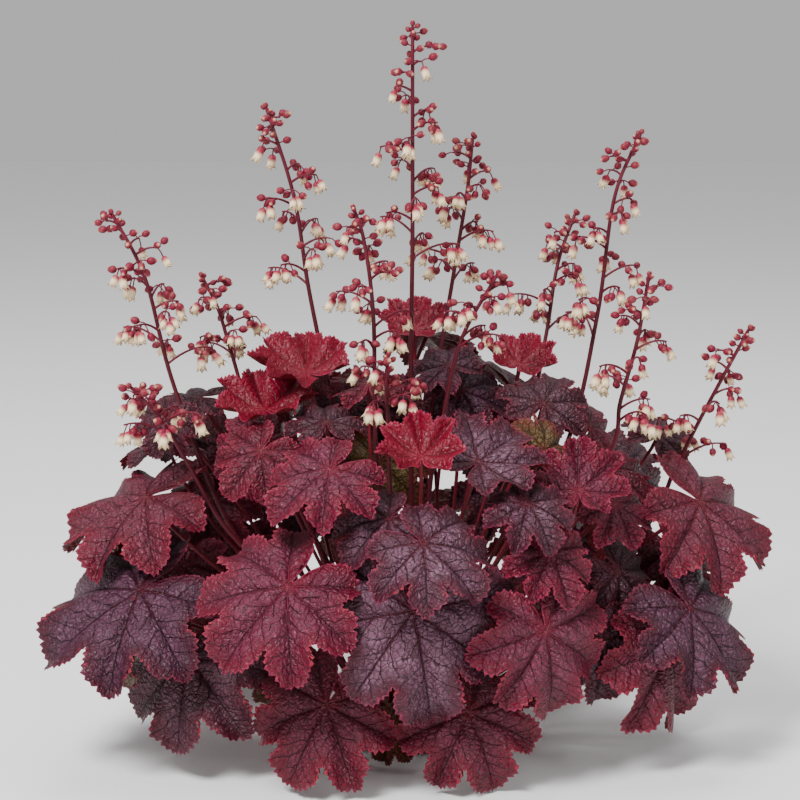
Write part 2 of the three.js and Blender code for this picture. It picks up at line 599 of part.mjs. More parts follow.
/** A side branch that ends in a floret, and a second floret beside it: bells low on the stem, buds
 * towards its tip. */
function spraySolids(stem, curve, k) {
  const spray = sprayCurve(stem, curve, k);
  const open = spray.share < 0.62;
  const axis = blend([spray.out, open ? 0.45 : 1], [UP, open ? -1 : 0.35]).normalize();
  const across = spray.out.clone().cross(UP);
  const aside = blend([across, k % 2 ? 1 : -1], [UP, open ? 0.2 : -0.5]).normalize();
  const { neck, rings, apex } = floretRings(open, spray.curve.getPoint(1).addScaledVector(axis, 1), axis);
  const radii = Array(BRANCH.steps + 1).fill(BRANCH.radius);
  const branch = ringsAlong(spray.curve, radii, FLORET_SIDES).slice(0, -1);
  return [
    loft([...branch, ...[neck, ...rings].map((ring) => matched(ring, branch.at(-1)))], apex),
    stalkedFloret(false, spray.curve.getPoint(0.55), aside),
  ];
}

/** The ring renumbered so that its points follow those of the ring before it without a twist. */
function matched(ring, before) {
  const turns = ring.map((_, shift) => ring.map((__, i) => ring[(i + shift) % ring.length]));
  const strain = (turned) => before.reduce((sum, p, i) => sum + p.distanceTo(turned[i]), 0);
  return turns.reduce((best, turned) => (strain(turned) < strain(best) ? turned : best));
}

/** A whole flower stem, fused: the stem that ends in a bud, its side branches and florets. */
function stemSolid(stem, foot) {
  const curve = stemCurve(stem, foot);
  const steps = Array.from({ length: STEM.steps + 1 }, (_, k) => k / STEM.steps);
  const radii = steps.map((share) => mix(STEM.radius, STEM.tip, share));
  const end = curve.getPoint(1).addScaledVector(curve.getTangent(1), BUD.length * 0.6);
  const solids = [loft(ringsAlong(curve, radii, STEM.sides), end)];
  for (let k = 0; k < stem.sprays; k += 1) solids.push(...spraySolids(stem, curve, k));
  return fuse(solids);
}

// ---- the plant ----------------------------------------------------------------------------------
const plant = new THREE.Group();
plant.name = 'heuchera';
const crown = solid(crownGeometry(0));
const socket = solid(crownGeometry(GAP));
plant.add(meshOf('crown', crown, FINISH.crown));

const leaves = allLeaves();
const leafNodes = [...new Set(leaves.map((leaf) => leaf.node))];
const shoots = leafNodes.map((node) => leaves.filter((leaf) => leaf.node === node));
const aims = [
  ...STEMS.map((stem) => stem.path[0]),
  ...shoots.map((shoot) => blend(...shoot.map((leaf) => [leaf.at, 1 / shoot.length]))),
];
const feet = spreadFeet(aims.map(firstFoot));
const placed = [];
const sheath = solid(crownGeometry(SHEATH));
const obstacle = (body) => ({ body, box: body.boundingBox() });

/** Trims a grown piece to the crown, keeps it as an obstacle for the next, and adds its mesh. */
function place(name, body, finish) {
  const trimmed = fuse([body.subtract(socket)]);
  placed.push(obstacle(trimmed));
  plant.add(meshOf(name, trimmed, finish));
}

/** The leaves of one shoot, each bent clear of all before it, and fused where they spring. */
function shootSolid(shoot, foot) {
  const grown = [];
  const siblings = [];
  for (const leaf of shoot) {
    const settled = settleLeaf(leaf, foot, [...placed, ...siblings]);
    const body = leafSolid(settled.leaf, foot, settled.bow, 0);
    grown.push(body);
    siblings.push(obstacle(body.subtract(sheath)));
  }
  return fuse(grown);
}

STEMS.forEach((stem, i) => place(stem.node, stemSolid(stem, feet[i]), FINISH.stem));
shoots.forEach((shoot, i) => {
  place(shoot[0].node, shootSolid(shoot, feet[STEMS.length + i]), KINDS[shoot[0].kind]);
});

export default plant;
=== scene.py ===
"""Heuchera (coral bells): a clump of lobed, toothed leaves and flower stems on one woody crown.

Lengths are in millimetres until a mesh is made. The frame is the CAD model's: +Z up, the front
faces -Y, and the origin is the centre of the crown's flat foot. Each leaf and flower stem of the CAD
model is grown again here on the same lines, finer: toothed rims, veins, hairs and small florets.
"""

import math

import bpy
import numpy as np
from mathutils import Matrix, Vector


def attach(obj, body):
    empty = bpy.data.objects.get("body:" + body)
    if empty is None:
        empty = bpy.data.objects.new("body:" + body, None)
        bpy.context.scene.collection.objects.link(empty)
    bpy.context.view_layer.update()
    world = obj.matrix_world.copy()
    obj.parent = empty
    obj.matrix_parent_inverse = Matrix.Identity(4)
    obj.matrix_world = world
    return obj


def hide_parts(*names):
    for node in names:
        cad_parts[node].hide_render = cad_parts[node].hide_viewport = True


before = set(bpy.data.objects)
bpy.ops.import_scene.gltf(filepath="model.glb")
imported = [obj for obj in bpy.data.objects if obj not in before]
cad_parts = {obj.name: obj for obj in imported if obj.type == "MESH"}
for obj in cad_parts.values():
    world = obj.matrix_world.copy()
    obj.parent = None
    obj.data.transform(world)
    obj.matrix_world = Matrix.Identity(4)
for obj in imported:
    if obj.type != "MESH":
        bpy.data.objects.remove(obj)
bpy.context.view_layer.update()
MM = 0.001

# ---- driving dimensions, as in the CAD model ----------------------------------------------------
CROWN_RADIUS = 32.0
CROWN_HEIGHT = 30.0
CROWN_FOOT = 29.0
BASE_PITCH = 6.6  # least spacing of the feet on the crown
FOOT_SIGHT = 8.0  # height from which a foot's first place is sighted, towards its stalk's aim
FOOT_RISES = (14, 76)  # degrees up the crown, of a stalk that leads out and of one that leads up
FOOT_LOWEST = 6.0
SPREAD_ROUNDS = 120
CAD_STALK_STEPS = 3
CAD_STALK_SIDES = 4
SOCKET_DEPTH = 1.5  # a stalk is drawn from this far inside the crown
BLADE_SEAT = 0.9  # how far under the blade its stalk's course ends
PETIOLE_RADIUS = 1.35
STEM_RADIUS = 1.7
STEM_TIP = 1.0
GOLDEN = 137.5  # degrees from one side branch to the next
BRANCH_LONGEST = 26.0
BRANCH_SHORTEST = 8.0
BRANCH_ELBOW = (0.55, 0.42)  # how far out and up its elbow lies, as shares of its length
BRANCH_LIFT = 0.3  # how far up its tip lies, the same way
BELL_LENGTH = 8.5
BUD_LENGTH = 4.6
MOUND = np.array([152.0, 140.0, 205.0])  # shell that the rear leaves lie on
MOUND_MIDDLE = np.array([0.0, 5.0, 12.0])

# How far a blade of each kind bends from its stalk to its tip, in radians: down, or up above 0.
BENDS = {
    "silver": -0.55, "pink": -0.5, "plum": -0.55, "rose": -0.55, "dark": -0.6, "red": 0.9, "old": -0.75,
}
FAN_NOTCH = 0.74  # least share of the reach in the notches of a young red leaf
FAN_SPREAD = 120  # degrees from the middle lobe that its fan takes

# Half of a blade's outline: degrees from the middle lobe's tip, and share of the reach.
HALF_OUTLINE = [
    (18, 0.87), (25, 0.64), (32, 0.83), (46, 0.95), (60, 0.82), (67, 0.6), (75, 0.77), (91, 0.86),
    (107, 0.73), (114, 0.55), (127, 0.68), (146, 0.66), (162, 0.5), (172, 0.28),
]
LOBE_STEP = 45.33  # degrees from one main vein to the next
OUTER_LOBE = 136  # degrees
SINUS_DEPTH = 0.06  # how far the blade runs on behind its stalk, as a share of the reach
RUFFLE_STEP = 46  # degrees from one ruffle to the next
MARK_ANGLES = (0, 25, 46, 67, 91, 114)  # lobe tips and notches that a solid's corners show

# Leaves of the front and sides: node, kind, where the stalk meets the blade, the compass angle that
# the blade faces, how far it faces up, how far its middle lobe is turned from straight down the
# slope, the reach from the stalk to that lobe's tip, and for some a bend of their own.
LEAVES = [
    ("leaf_01", "silver", (4, -120, 106), 272, 18, 10, 64),
    ("leaf_02", "silver", (9, -128, 143), 280, 52, 42, 44),
    ("leaf_03", "pink", (-60, -118, 118), 260, 34, -38, 56),
    ("leaf_04", "plum", (-141, -65, 103), 242, 48, -45, 66),
    ("leaf_05", "dark", (-119, -72, 68), 250, 16, 0, 55),
    ("leaf_06", "rose", (-41, -95, 49), 262, 28, -25, 50),
    ("leaf_07", "rose", (33, -95, 45), 278, 26, 20, 46),
    ("leaf_08", "pink", (70, -106, 90), 298, 24, 12, 51),
    ("leaf_09", "dark", (104, -74, 78), 290, 14, 0, 39),
    ("leaf_10", "rose", (141, -62, 73), 310, 16, 15, 54),
    ("leaf_11", "plum", (152, -62, 92), 308, 42, 30, 54),
    ("leaf_12", "rose", (154, -22, 131), 312, 52, 40, 56),
    ("leaf_13", "rose", (-140, -31, 146), 228, 54, -50, 58),
    ("leaf_14", "pink", (-39, -94, 174), 262, 58, -45, 42),
    ("leaf_15", "silver", (-17, -96, 146), 262, 44, -40, 37),
    ("leaf_16", "silver", (38, -84, 176), 285, 58, 130, 41, 0.3),
    ("leaf_17", "silver", (63, -99, 157), 285, 60, 20, 31),
    ("leaf_18", "pink", (74, -97, 131), 288, 40, 15, 32),
    ("leaf_19", "red", (8, -92, 177), 270, 55, -175, 28),
    ("leaf_20", "pink", (91, -71, 158), 275, 60, 175, 33, 0.6),
    ("leaf_21", "dark", (121, -62, 121), 310, 42, 40, 31),
    ("leaf_22", "red", (-75, -31, 194), 265, 74, -160, 33),
    ("leaf_23", "red", (-54, -12, 211), 270, 72, -135, 36),
    ("leaf_24", "pink", (-92, -23, 187), 250, 50, -40, 36),
    ("leaf_25", "red", (6, 50, 226), 265, 66, 175, 27),
    ("leaf_26", "red", (64, 22, 210), 280, 70, 150, 26),
    ("leaf_27", "dark", (75, -23, 196), 285, 50, 145, 32),
    ("leaf_28", "rose", (-76, -60, 177), 260, 35, -35, 30),
    ("leaf_29", "dark", (-115, 25, 191), 240, 70, -70, 30),
    ("leaf_30", "pink", (112, -50, 146), 295, 45, 10, 27),
    ("leaf_shoot_1", "old", (-149, -41, 64), 230, 15, -30, 36),
    ("leaf_shoot_1", "old", (-159, 16, 126), 160, 15, 20, 32),
    ("leaf_shoot_1", "rose", (-122, -8, 104), 250, 35, -10, 37),
    ("leaf_shoot_2", "dark", (-130, 20, 158), 225, 65, -90, 34),
    ("leaf_shoot_2", "dark", (-116, 2, 173), 250, 40, -15, 26),
    ("leaf_shoot_2", "rose", (-114, 12, 143), 250, 38, 0, 34),
    ("leaf_shoot_3", "rose", (101, -8, 181), 320, 35, 125, 28),
    ("leaf_shoot_3", "old", (74, -53, 176), 300, 30, 155, 26),
    ("leaf_shoot_3", "rose", (118, -12, 166), 300, 45, 0, 36),
    ("leaf_31", "old", (-68, -76, 64), 268, 20, -25, 28),
    ("leaf_32", "old", (-8, -55, 24), 265, 25, -15, 22),
    ("leaf_shoot_4", "plum", (24, 8, 212), 265, 60, -130, 28),
    ("leaf_shoot_4", "plum", (32, 8, 205), 280, 55, 115, 32),
    ("leaf_shoot_5", "dark", (142, 18, 171), 300, 55, 125, 26),
    ("leaf_shoot_5", "dark", (130, 18, 157), 300, 32, 120, 38),
    ("leaf_shoot_5", "rose", (136, -22, 118), 300, 40, 20, 38),
    ("leaf_shoot_6", "dark", (-42, -46, 190), 270, 60, -175, 28),
    ("leaf_shoot_6", "rose", (-20, -5, 203), 270, 70, -180, 28),
    ("leaf_shoot_6", "old", (-14, 6, 162), 268, 35, 0, 38),
    ("leaf_shoot_7", "dark", (-64, 40, 140), 262, 40, -10, 39),
    ("leaf_shoot_7", "rose", (-98, 30, 106), 245, 35, -20, 39),
    ("leaf_shoot_8", "dark", (58, 42, 140), 282, 40, 10, 39),
    ("leaf_shoot_8", "plum", (98, 32, 108), 300, 35, 15, 39),
    ("leaf_shoot_8", "dark", (116, -14, 84), 305, 25, 0, 34),
    ("leaf_shoot_2", "rose", (-104, 30, 172), 255, 35, 0, 36),
    ("leaf_shoot_4", "dark", (10, 34, 188), 270, 35, 0, 34),
    ("leaf_shoot_4", "rose", (46, 30, 184), 280, 35, 0, 32),
    ("leaf_shoot_6", "dark", (-28, 34, 182), 265, 35, 0, 34),
]

# Leaves of the rear, in tiers: how many, from which compass angle to which, how high over the middle
# and how far they face up, their reach, how many one node carries, and their kinds in turn.
REAR_TIERS = [
    (5, -12, 192, 14, 33, 49, 3, ("plum", "rose", "dark")),
    (4, 14, 166, 30, 38, 48, 2, ("pink", "dark")),
    (3, 18, 162, 47, 48, 47, 3, ("silver", "rose", "pink")),
    (3, 10, 170, 65, 60, 38, 3, ("plum", "silver", "rose")),
]

# Flower stems: the number of side branches, how much of the stem they take, the compass angle of the
# lowest one, and points of the stem from half way up the leaves to its tip.
STEMS = [
    (7, 0.28, 20, (-95, -3, 120), (-126, -5, 201), (-141, -7, 262), (-158, -8, 297)),
    (4, 0.15, 200, (-96, -36, 129), (-116, -48, 168), (-130, -55, 194), (-144, -60, 211)),
    (5, 0.2, 90, (-81, 29, 164), (-97, 37, 212), (-105, 42, 238), (-114, 45, 256)),
    (7, 0.3, 150, (-40, 13, 189), (-53, 18, 252), (-61, 22, 303), (-76, 25, 352)),
    (6, 0.28, 255, (-16, -20, 175), (-17, -30, 245), (-22, -33, 286), (-27, -35, 302)),
    (9, 0.34, 0, (3, 2, 186), (4, 4, 280), (4, 4, 336), (4, 5, 397)),
    (7, 0.26, 60, (15, 30, 181), (28, 42, 262), (35, 47, 305), (38, 50, 334)),
    (4, 0.18, 330, (15, -15, 160), (21, -18, 189), (30, -22, 230), (49, -25, 266)),
    (5, 0.24, 40, (68, 41, 168), (80, 54, 220), (87, 63, 261), (97, 70, 289)),
    (7, 0.34, 100, (89, 10, 165), (106, 14, 237), (115, 18, 303), (129, 20, 338)),
    (6, 0.3, 300, (109, -24, 165), (116, -28, 198), (124, -34, 232), (129, -40, 267)),
    (5, 0.3, 10, (132, 4, 119), (150, 2, 156), (164, -5, 188), (186, -15, 235)),
    (3, 0.15, 250, (-8, -35, 150), (-9, -49, 188), (-10, -56, 212), (-9, -60, 227)),
]

# A leaf that would cross its neighbours is shifted, pushed out and tilted by one of each of these,
# and its stalk bowed [aside, up].
SHIFTS = (0, 9, -9, 18, -18)
PUSHES = (0, 5, -5, 10, -10, 15, -15, 20, -20)
NODS = (0, 8, -8, 16, -16)
BOWS = (
    (0, 0), (9, 0), (-9, 0), (0, 9), (18, 0), (-18, 0), (9, 9), (-9, 9), (0, -9), (27, 0), (-27, 0),
    (18, 9), (-18, 9), (36, 0), (-36, 0),
)

# ---- finer dimensions ---------------------------------------------------------------------------
KNOBS = ((0.05, 5, 0.3), (0.025, 13, -0.9), (0.015, 29, 1.7))  # depth, number round, slant
CROWN_COLUMNS = 90
CROWN_ROWS = 26
SHEET = 0.25  # half the thickness of a blade
RIPPLE = 0.032  # height of a blade's waves, as a share of its reach
RIPPLES = 13
FLUTTER = 0.012  # height of the small waves near its rim
FLUTTERS = 31
PILLOW = 0.062  # swelling between two main veins, as a share of the reach
GROOVE_DEPTH = 1.1  # hollow along a main vein
GROOVE_WIDTH = 2.2
GROOVE_FROM_RIM = (0, 4)  # mm over which a groove deepens from the rim inwards
GROOVE_FROM_STALK = (1.5, 6)  # the same, from the stalk outwards
NORMAL_STEP = 0.004  # a blade's normal is taken this share of its reach further out,
NORMAL_TURN = 0.5  # and this many degrees further round
HEM = 2.2  # most that the inner part of a blade keeps inside its rim
HEM_SHARE = 0.04  # the same, as a share of the reach
RIM_LENGTH = 7.4  # in reaches, about
CORNER_STEPS = 14  # points to each corner of the outline, as it is rounded
TOOTH_PITCH = 3.3
SMALL_TOOTH_PITCH = 0.075  # most for a small blade, as a share of its reach
TOOTH_DEPTH = 1.15
FULL_TEETH_REACH = 50  # a smaller blade has shallower teeth
TOOTHLESS = (150, 172)  # degrees between which the teeth fade out, beside the stalk
TOOTH_PROFILE = (0.0, 0.7, 1.35, 0.6)  # height over the notch, four points to a tooth
TEETH_TO_A_SCALLOP = 4
SCALLOP_DEPTH = 2.0
COLUMN_STEP = 4  # rim points to one column of the blade's inner part
INNER_SHARES = (0.1, 0.2, 0.3, 0.4, 0.5, 0.6, 0.7, 0.79)  # rings of the inner part
FINE_SHARE = 0.91  # the ring outside them, with as many points as the rim
HEM_THINNING = 0.8  # share of the thickness left at the hem
UNDER_SHARES = (0.3, 0.6, 0.79)  # rings of the underside
CURVE_SAMPLES = 121  # taken along a curve before it is spaced evenly
STEM_SAMPLES = 40  # the same, between two of a stem's own points
SMALL_REACH = 36
PETIOLE_SLIMS = (1.0, 1.15)  # radius half way, of a leaf under that reach and of a larger one
SHEATH = (1.1, 0.05)  # how much wider a petiole is at its foot, and over what share of its length
NECK = (0.35, 0.93)  # how much wider it is under the blade, and from what share on
PETIOLE_POINTS = 22
PETIOLE_SIDES = 8
STEM_POINTS = 60
STEM_SIDES = 7
BRANCH_POINTS = 9
BRANCH_RADII = (0.75, 0.45)  # at the stem and at the tip
MIDWAY_LENGTH = 0.7  # a branch midway between two of the CAD model's, as a share of their length
UPPER_SPRAYS = 0.7  # share of the panicle above which a spray has fewer florets
FLORETS_TO_A_SPRAY = (5, 3)  # below that share, and above it
OPEN_BELOW = (0.85, 0.6, 0.35, 0, 0)  # share below which each floret of a spray may be open
PEDICEL_RADIUS = 0.36
BRANCH_TINT = 0.95  # shares of the way from the stem's colour to its tip's
PEDICEL_TINT = 1.0
TIP_BUDS = (1.5, 3.5, 5.5, 8, 10.5, 13.5, 16.5, 20)  # mm from the stem's tip
HAIR_LENGTH = 1.1
HAIR_RADIUS = 0.035
HAIR_LEAN = 0.5  # most that a hair leans aside, in radians
HAIR_SCALES = (0.5, 1.3)
HAIRS_PER_SQUARE_MM = 0.12

# Starts of the streams of chance, each added to the number of a leaf or stem.
HABIT_SEED = 11
TEETH_SEED = 401
FLORET_SEED = 71
STEM_HAIR_SEED = 200

UP = np.array([0.0, 0.0, 1.0])


# ---- small helpers ------------------------------------------------------------------------------
def mix(a, b, t):
    return a + (b - a) * t


def unit(v):
    return v / np.linalg.norm(v)


def heading(azimuth, rise):
    """Unit vector at a compass angle and a height above the horizontal, both in degrees."""
    a, r = math.radians(azimuth), math.radians(rise)
    return np.array([math.cos(a) * math.cos(r), math.sin(a) * math.cos(r), math.sin(r)])


def azimuth_of(direction):
    """The compass angle of a direction, in degrees."""
    return math.degrees(math.atan2(direction[1], direction[0]))


def smooth(low, high, value):
    """0 below low, 1 above high, and a smooth rise between."""
    t = np.clip((value - low) / (high - low), 0, 1)
    return t * t * (3 - 2 * t)


def stream(seed):
    """A repeatable stream of numbers from 0 to 1."""
    state = (seed * 2654435761) % 4294967296
    while True:
        state = (state * 1664525 + 1013904223) % 4294967296
        yield state / 4294967296


def evenly(points, count, closed=False):
    """Points resampled at even lengths along their line."""
    line = np.vstack([points, points[:1]]) if closed else points
    steps = np.linalg.norm(np.diff(line, axis=0), axis=1)
    length = np.concatenate([[0], np.cumsum(steps)])
    places = np.linspace(0, length[-1], count + 1)[:-1] if closed else np.linspace(0, length[-1], count)
    return np.stack([np.interp(places, length, line[:, k]) for k in range(line.shape[1])], axis=1)


def rounded(points, steps):
    """A smooth curve through the points; the first and last only guide its ends."""
    t = np.linspace(0, 1, steps, endpoint=False)[:, None]
    spans = []
    for before, start, end, after in zip(points, points[1:], points[2:], points[3:]):
        leave, arrive = (end - before) / 2, (after - start) / 2
        spans.append(start * (2 * t**3 - 3 * t**2 + 1) + leave * (t**3 - 2 * t**2 + t)
                     + end * (3 * t**2 - 2 * t**3) + arrive * (t**3 - t**2))
    return np.vstack(spans)


def bezier(low, first, second, high, count):
    """A cubic curve between two points, at even lengths."""
    t = np.linspace(0, 1, CURVE_SAMPLES)[:, None]
    line = low * (1 - t)**3 + first * 3 * t * (1 - t)**2 + second * 3 * t**2 * (1 - t) + high * t**3
    return evenly(line, count)


# ---- the crown's skin and the feet on it --------------------------------------------------------
def crown_skin(direction):
    """Point of the crown's skin towards a direction."""
    x, y, z = direction
    size = math.sqrt((x / CROWN_RADIUS)**2 + (y / CROWN_RADIUS)**2 + (z / CROWN_HEIGHT)**2)
    return (x / size, y / size, z / size)


def skin_normal(foot):
    x, y, z = foot
    return unit(np.array([x / CROWN_RADIUS**2, y / CROWN_RADIUS**2, z / CROWN_HEIGHT**2]))


def first_foot(target):
    """First guess of a foot on the crown, below the direction that its stalk leads in."""
    out = unit(np.asarray(target, float) - [0, 0, FOOT_SIGHT])
    rise = math.degrees(math.asin(out[2]))
    return crown_skin(heading(azimuth_of(out), mix(*FOOT_RISES, max(0, rise) / 90)))


def pushed_apart(a, b):
    """Two feet that stand too close, each moved half of what they lack; or None."""
    gap = [a[k] - b[k] for k in range(3)]
    length = math.sqrt(gap[0]**2 + gap[1]**2 + gap[2]**2)
    if length >= BASE_PITCH:
        return None
    half = [g / length * (BASE_PITCH - length) / 2 for g in gap]
    one = (a[0] + half[0], a[1] + half[1], max(FOOT_LOWEST, a[2] + half[2]))
    other = (b[0] - half[0], b[1] - half[1], max(FOOT_LOWEST, b[2] - half[2]))
    return crown_skin(one), crown_skin(other)


def spread_feet(feet):
    """Moves the feet apart over the crown until none stand closer than the pitch."""
    for _ in range(SPREAD_ROUNDS):
        for i in range(len(feet)):
            for j in range(i + 1, len(feet)):
                moved_pair = pushed_apart(feet[i], feet[j])
                if moved_pair:
                    feet[i], feet[j] = moved_pair
    return [np.array(foot) for foot in feet]


# ---- leaves: where they lie ---------------------------------------------------------------------
def habit_of(seed):
    """How a leaf differs from the pattern: shape of its lobes, and the waves of its blade."""
    draw = stream(seed + HABIT_SEED)
    return {
        "ruffle": 0.2 + 0.12 * next(draw),
        "lean": 0.16 * next(draw),
        "lean_to": 360 * next(draw),
        "twist": 0.12 + 0.16 * next(draw),
        "twist_to": 360 * next(draw),
        "lobe_length": [0.94 + 0.12 * next(draw) for _ in range(7)],
        "phase": 6.28 * next(draw),
    }


def rear_leaves():
    """The leaves of the rear tiers, laid over the shell of the mound."""
    for row, (count, start, end, height, rise, reach, share, kinds) in enumerate(REAR_TIERS):
        for i in range(count):
            around = mix(start, end, (i + 0.5) / count) + 4 * math.sin(i * 2.4 + row)
            out = heading(around, height + 3 * math.sin(i * 1.9 + row * 2))
            node = f"leaf_rear_{row + 1}{'ab'[i // share]}"
            spin = 25 * math.sin(i * 1.3 + row)
            size = reach * (1 + 0.1 * math.sin(i * 2.7 + row))
            yield node, kinds[i % len(kinds)], out * MOUND + MOUND_MIDDLE, around, rise, spin, size


def all_leaves():
    leaves = []
    for seed, (node, kind, at, faces, rise, spin, reach, *bend) in enumerate([*LEAVES, *rear_leaves()]):
        leaves.append({
            "node": node, "kind": kind, "at": np.array(at, float), "faces": faces, "rise": rise,
            "spin": spin, "reach": reach, "bend": bend[0] if bend else BENDS[kind],
            "seed": seed, **habit_of(seed),
        })
    return leaves


def blade_axes(leaf):
    """Directions out of the blade's upper side, along its middle lobe, and to the side."""
    face = heading(leaf["faces"], leaf["rise"])
    down = heading(leaf["faces"], leaf["rise"] - 90)
    spin = math.radians(leaf["spin"])
    lobe = down * math.cos(spin) + np.cross(face, down) * math.sin(spin)
    return face, lobe, np.cross(face, lobe)


def on_blade(leaf, share, angle):
    """Points of the blade at shares of its reach and angles from the middle lobe. Each line from the
    stalk to the edge is an arc, so that a blade bends without stretching."""
    face, lobe, side = blade_axes(leaf)
    turned = np.radians(angle)
    bend = (leaf["bend"] - leaf["ruffle"] * np.cos(turned * (360 / RUFFLE_STEP))
            + leaf["lean"] * np.cos(turned - math.radians(leaf["lean_to"]))
            + leaf["twist"] * np.cos(2 * turned - math.radians(leaf["twist_to"])))
    turn = bend * share
    turn = np.where(np.abs(turn) < 1e-3, 1e-3, turn)
    flat = leaf["reach"] * share * np.sin(turn) / turn
    lift = leaf["reach"] * share * (1 - np.cos(turn)) / turn
    return (leaf["at"] + np.outer(flat * np.cos(turned), lobe) + np.outer(flat * np.sin(turned), side)
            + np.outer(lift, face))


def outline_of(leaf):
    """Corners of the blade's outline: angles from one side of the stalk round to the other, shares."""
    least = FAN_NOTCH if leaf["kind"] == "red" else 0
    half = [(a, max(r, least) if a < FAN_SPREAD else r) for a, r in HALF_OUTLINE]
    angles = [-a for a, _ in reversed(half)] + [0] + [a for a, _ in half]
    shares = [r for _, r in reversed(half)] + [1] + [r for _, r in half]
    lobes = [-OUTER_LOBE + LOBE_STEP * k for k in range(7)]
    return np.array(angles, float), np.array(shares) * np.interp(angles, lobes, leaf["lobe_length"])


def moved(leaf, shift, push, nod):
    """The leaf shifted, pushed out and tilted by the given amounts."""
    aside = heading(leaf["faces"] + 90, 0) * shift + heading(leaf["faces"], leaf["rise"]) * push
    return {**leaf, "rise": leaf["rise"] + nod, "at": leaf["at"] + aside}


def nearest(points, corners, count=1):
    """Distances from each point to its nearest corners."""
    apart = np.linalg.norm(points[:, None] - corners[None], axis=2)
    return np.sort(apart, axis=1)[:, :count]


def settled_leaf(leaf, corners):
    """The leaf where its solid lies: of all its changed places, the one whose lobe tips and notches
    lie nearest to the solid's corners."""
    angles, shares = outline_of(leaf)
    marks = np.isin(np.abs(angles), MARK_ANGLES)
    trials = [moved(leaf, s, p, n) for s in SHIFTS for p in PUSHES for n in NODS]
    misses = [nearest(on_blade(t, shares[marks], angles[marks]), corners).mean() for t in trials]
    return trials[int(np.argmin(misses))]


def petiole_course(leaf, foot, bow, count):
    """The stalk's course from inside the crown to just under the blade, as in the CAD model."""
    face, lobe, _ = blade_axes(leaf)
    normal = skin_normal(foot)
    reach = np.linalg.norm(leaf["at"] - foot)
    arrive = unit(face * 0.8 + lobe * 0.35 + UP * 0.3)
    aside = unit(np.cross(leaf["at"] - foot, UP)) * bow[0] + UP * bow[1]
    low = foot + unit(normal * 0.8 + UP * 0.35) * reach * 0.36 + aside * 0.4
    high = leaf["at"] - arrive * reach * 0.3 + aside
    return bezier(foot - normal * SOCKET_DEPTH, low, high, leaf["at"] - face * BLADE_SEAT, count)


def settled_bow(leaf, foot, corners):
    """The bow of the stalk's solid: the one whose course runs in the middle of the solid's corners."""
    def miss(bow):
        middle = petiole_course(leaf, foot, bow, CAD_STALK_STEPS + 1)[1:-1]
        return np.abs(nearest(middle, corners, CAD_STALK_SIDES) - PETIOLE_RADIUS).sum()
    return min(BOWS, key=miss)


# ---- leaves: the fine blade ---------------------------------------------------------------------
def smooth_rim(leaf, count):
    """The blade's outline without teeth, flat, in mm: a closed line that starts at the heel."""
    angles, shares = outline_of(leaf)
    angles = np.radians(np.concatenate([[-180], angles]))
    shares = np.concatenate([[SINUS_DEPTH], shares]) * leaf["reach"]
    corners = np.stack([shares * np.cos(angles), shares * np.sin(angles)], axis=1)
    loop = np.vstack([corners[-1:], corners, corners[:2]])
    return evenly(rounded(loop, CORNER_STEPS), count, closed=True)


def toothed_rim(leaf, rim, out):
    """The rim with its teeth, each of its own height, which fade out beside the stalk."""
    draw = stream(leaf["seed"] + TEETH_SEED)
    depth = TOOTH_DEPTH * min(1, leaf["reach"] / FULL_TEETH_REACH)
    teeth = len(rim) // len(TOOTH_PROFILE)
    height = np.repeat([0.65 + 0.7 * next(draw) for _ in range(teeth)], len(TOOTH_PROFILE))
    away = np.degrees(np.abs(np.arctan2(rim[:, 1], rim[:, 0])))
    fade = 1 - smooth(*TOOTHLESS, away)
    profile = np.tile(TOOTH_PROFILE, teeth) - 0.5
    along = np.arange(len(rim)) / (len(TOOTH_PROFILE) * TEETH_TO_A_SCALLOP)
    scallop = np.abs(np.sin(math.pi * along))**0.6 - 0.7
    swell = scallop * SCALLOP_DEPTH / TOOTH_DEPTH * (0.6 + 0.4 * height)
    return rim + out * ((profile * height + swell) * fade * depth)[:, None]


def outward(rim):
    """Unit directions out of a closed flat line."""
    along = np.roll(rim, -1, axis=0) - np.roll(rim, 1, axis=0)
    out = np.stack([along[:, 1], -along[:, 0]], axis=1)
    return out / np.linalg.norm(out, axis=1)[:, None]


def raised(leaf, flat, rim_gap):
    """Points of the blade in space for its flat points, and the unit normals there: the arc of the
    blade, its ripples, and its hollows along the main veins."""
    reach = leaf["reach"]
    share = np.maximum(np.linalg.norm(flat, axis=1) / reach, 1e-4)
    angle = np.degrees(np.arctan2(flat[:, 1], flat[:, 0]))
    here = on_blade(leaf, share, angle)
    outwards = on_blade(leaf, share + NORMAL_STEP, angle) - here
    round_it = on_blade(leaf, share, angle + NORMAL_TURN) - here
    normal = np.cross(outwards, round_it)
    normal /= np.linalg.norm(normal, axis=1)[:, None]
    lobe = np.clip(np.round(angle / LOBE_STEP), -3, 3) * LOBE_STEP
    off = angle - lobe
    across = np.abs(np.sin(np.radians(off))) * share * reach
    around = np.radians(angle)
    ripple = RIPPLE * reach * share**3 * np.sin(around * RIPPLES + leaf["phase"])
    flutter = FLUTTER * reach * share**4 * np.sin(around * FLUTTERS + 2 * leaf["phase"])
    between = np.sin(np.clip(np.abs(off) / LOBE_STEP, 0, 0.5) * 2 * math.pi)
    pillow = PILLOW * reach * between * share * (1.05 - share)
    groove = GROOVE_DEPTH * np.exp(-((across / GROOVE_WIDTH)**2)) * (1 - share * 0.6)
    groove *= smooth(*GROOVE_FROM_RIM, rim_gap)
    groove *= smooth(*GROOVE_FROM_STALK, share * reach)
    return here + normal * (ripple + flutter + pillow - groove)[:, None], normal


def gap_to_rim(points, rim):
    """Distance in mm from flat points to the rim, taken at every other point of it."""
    return np.linalg.norm(points[:, None] - rim[None, ::2], axis=2).min(axis=1)


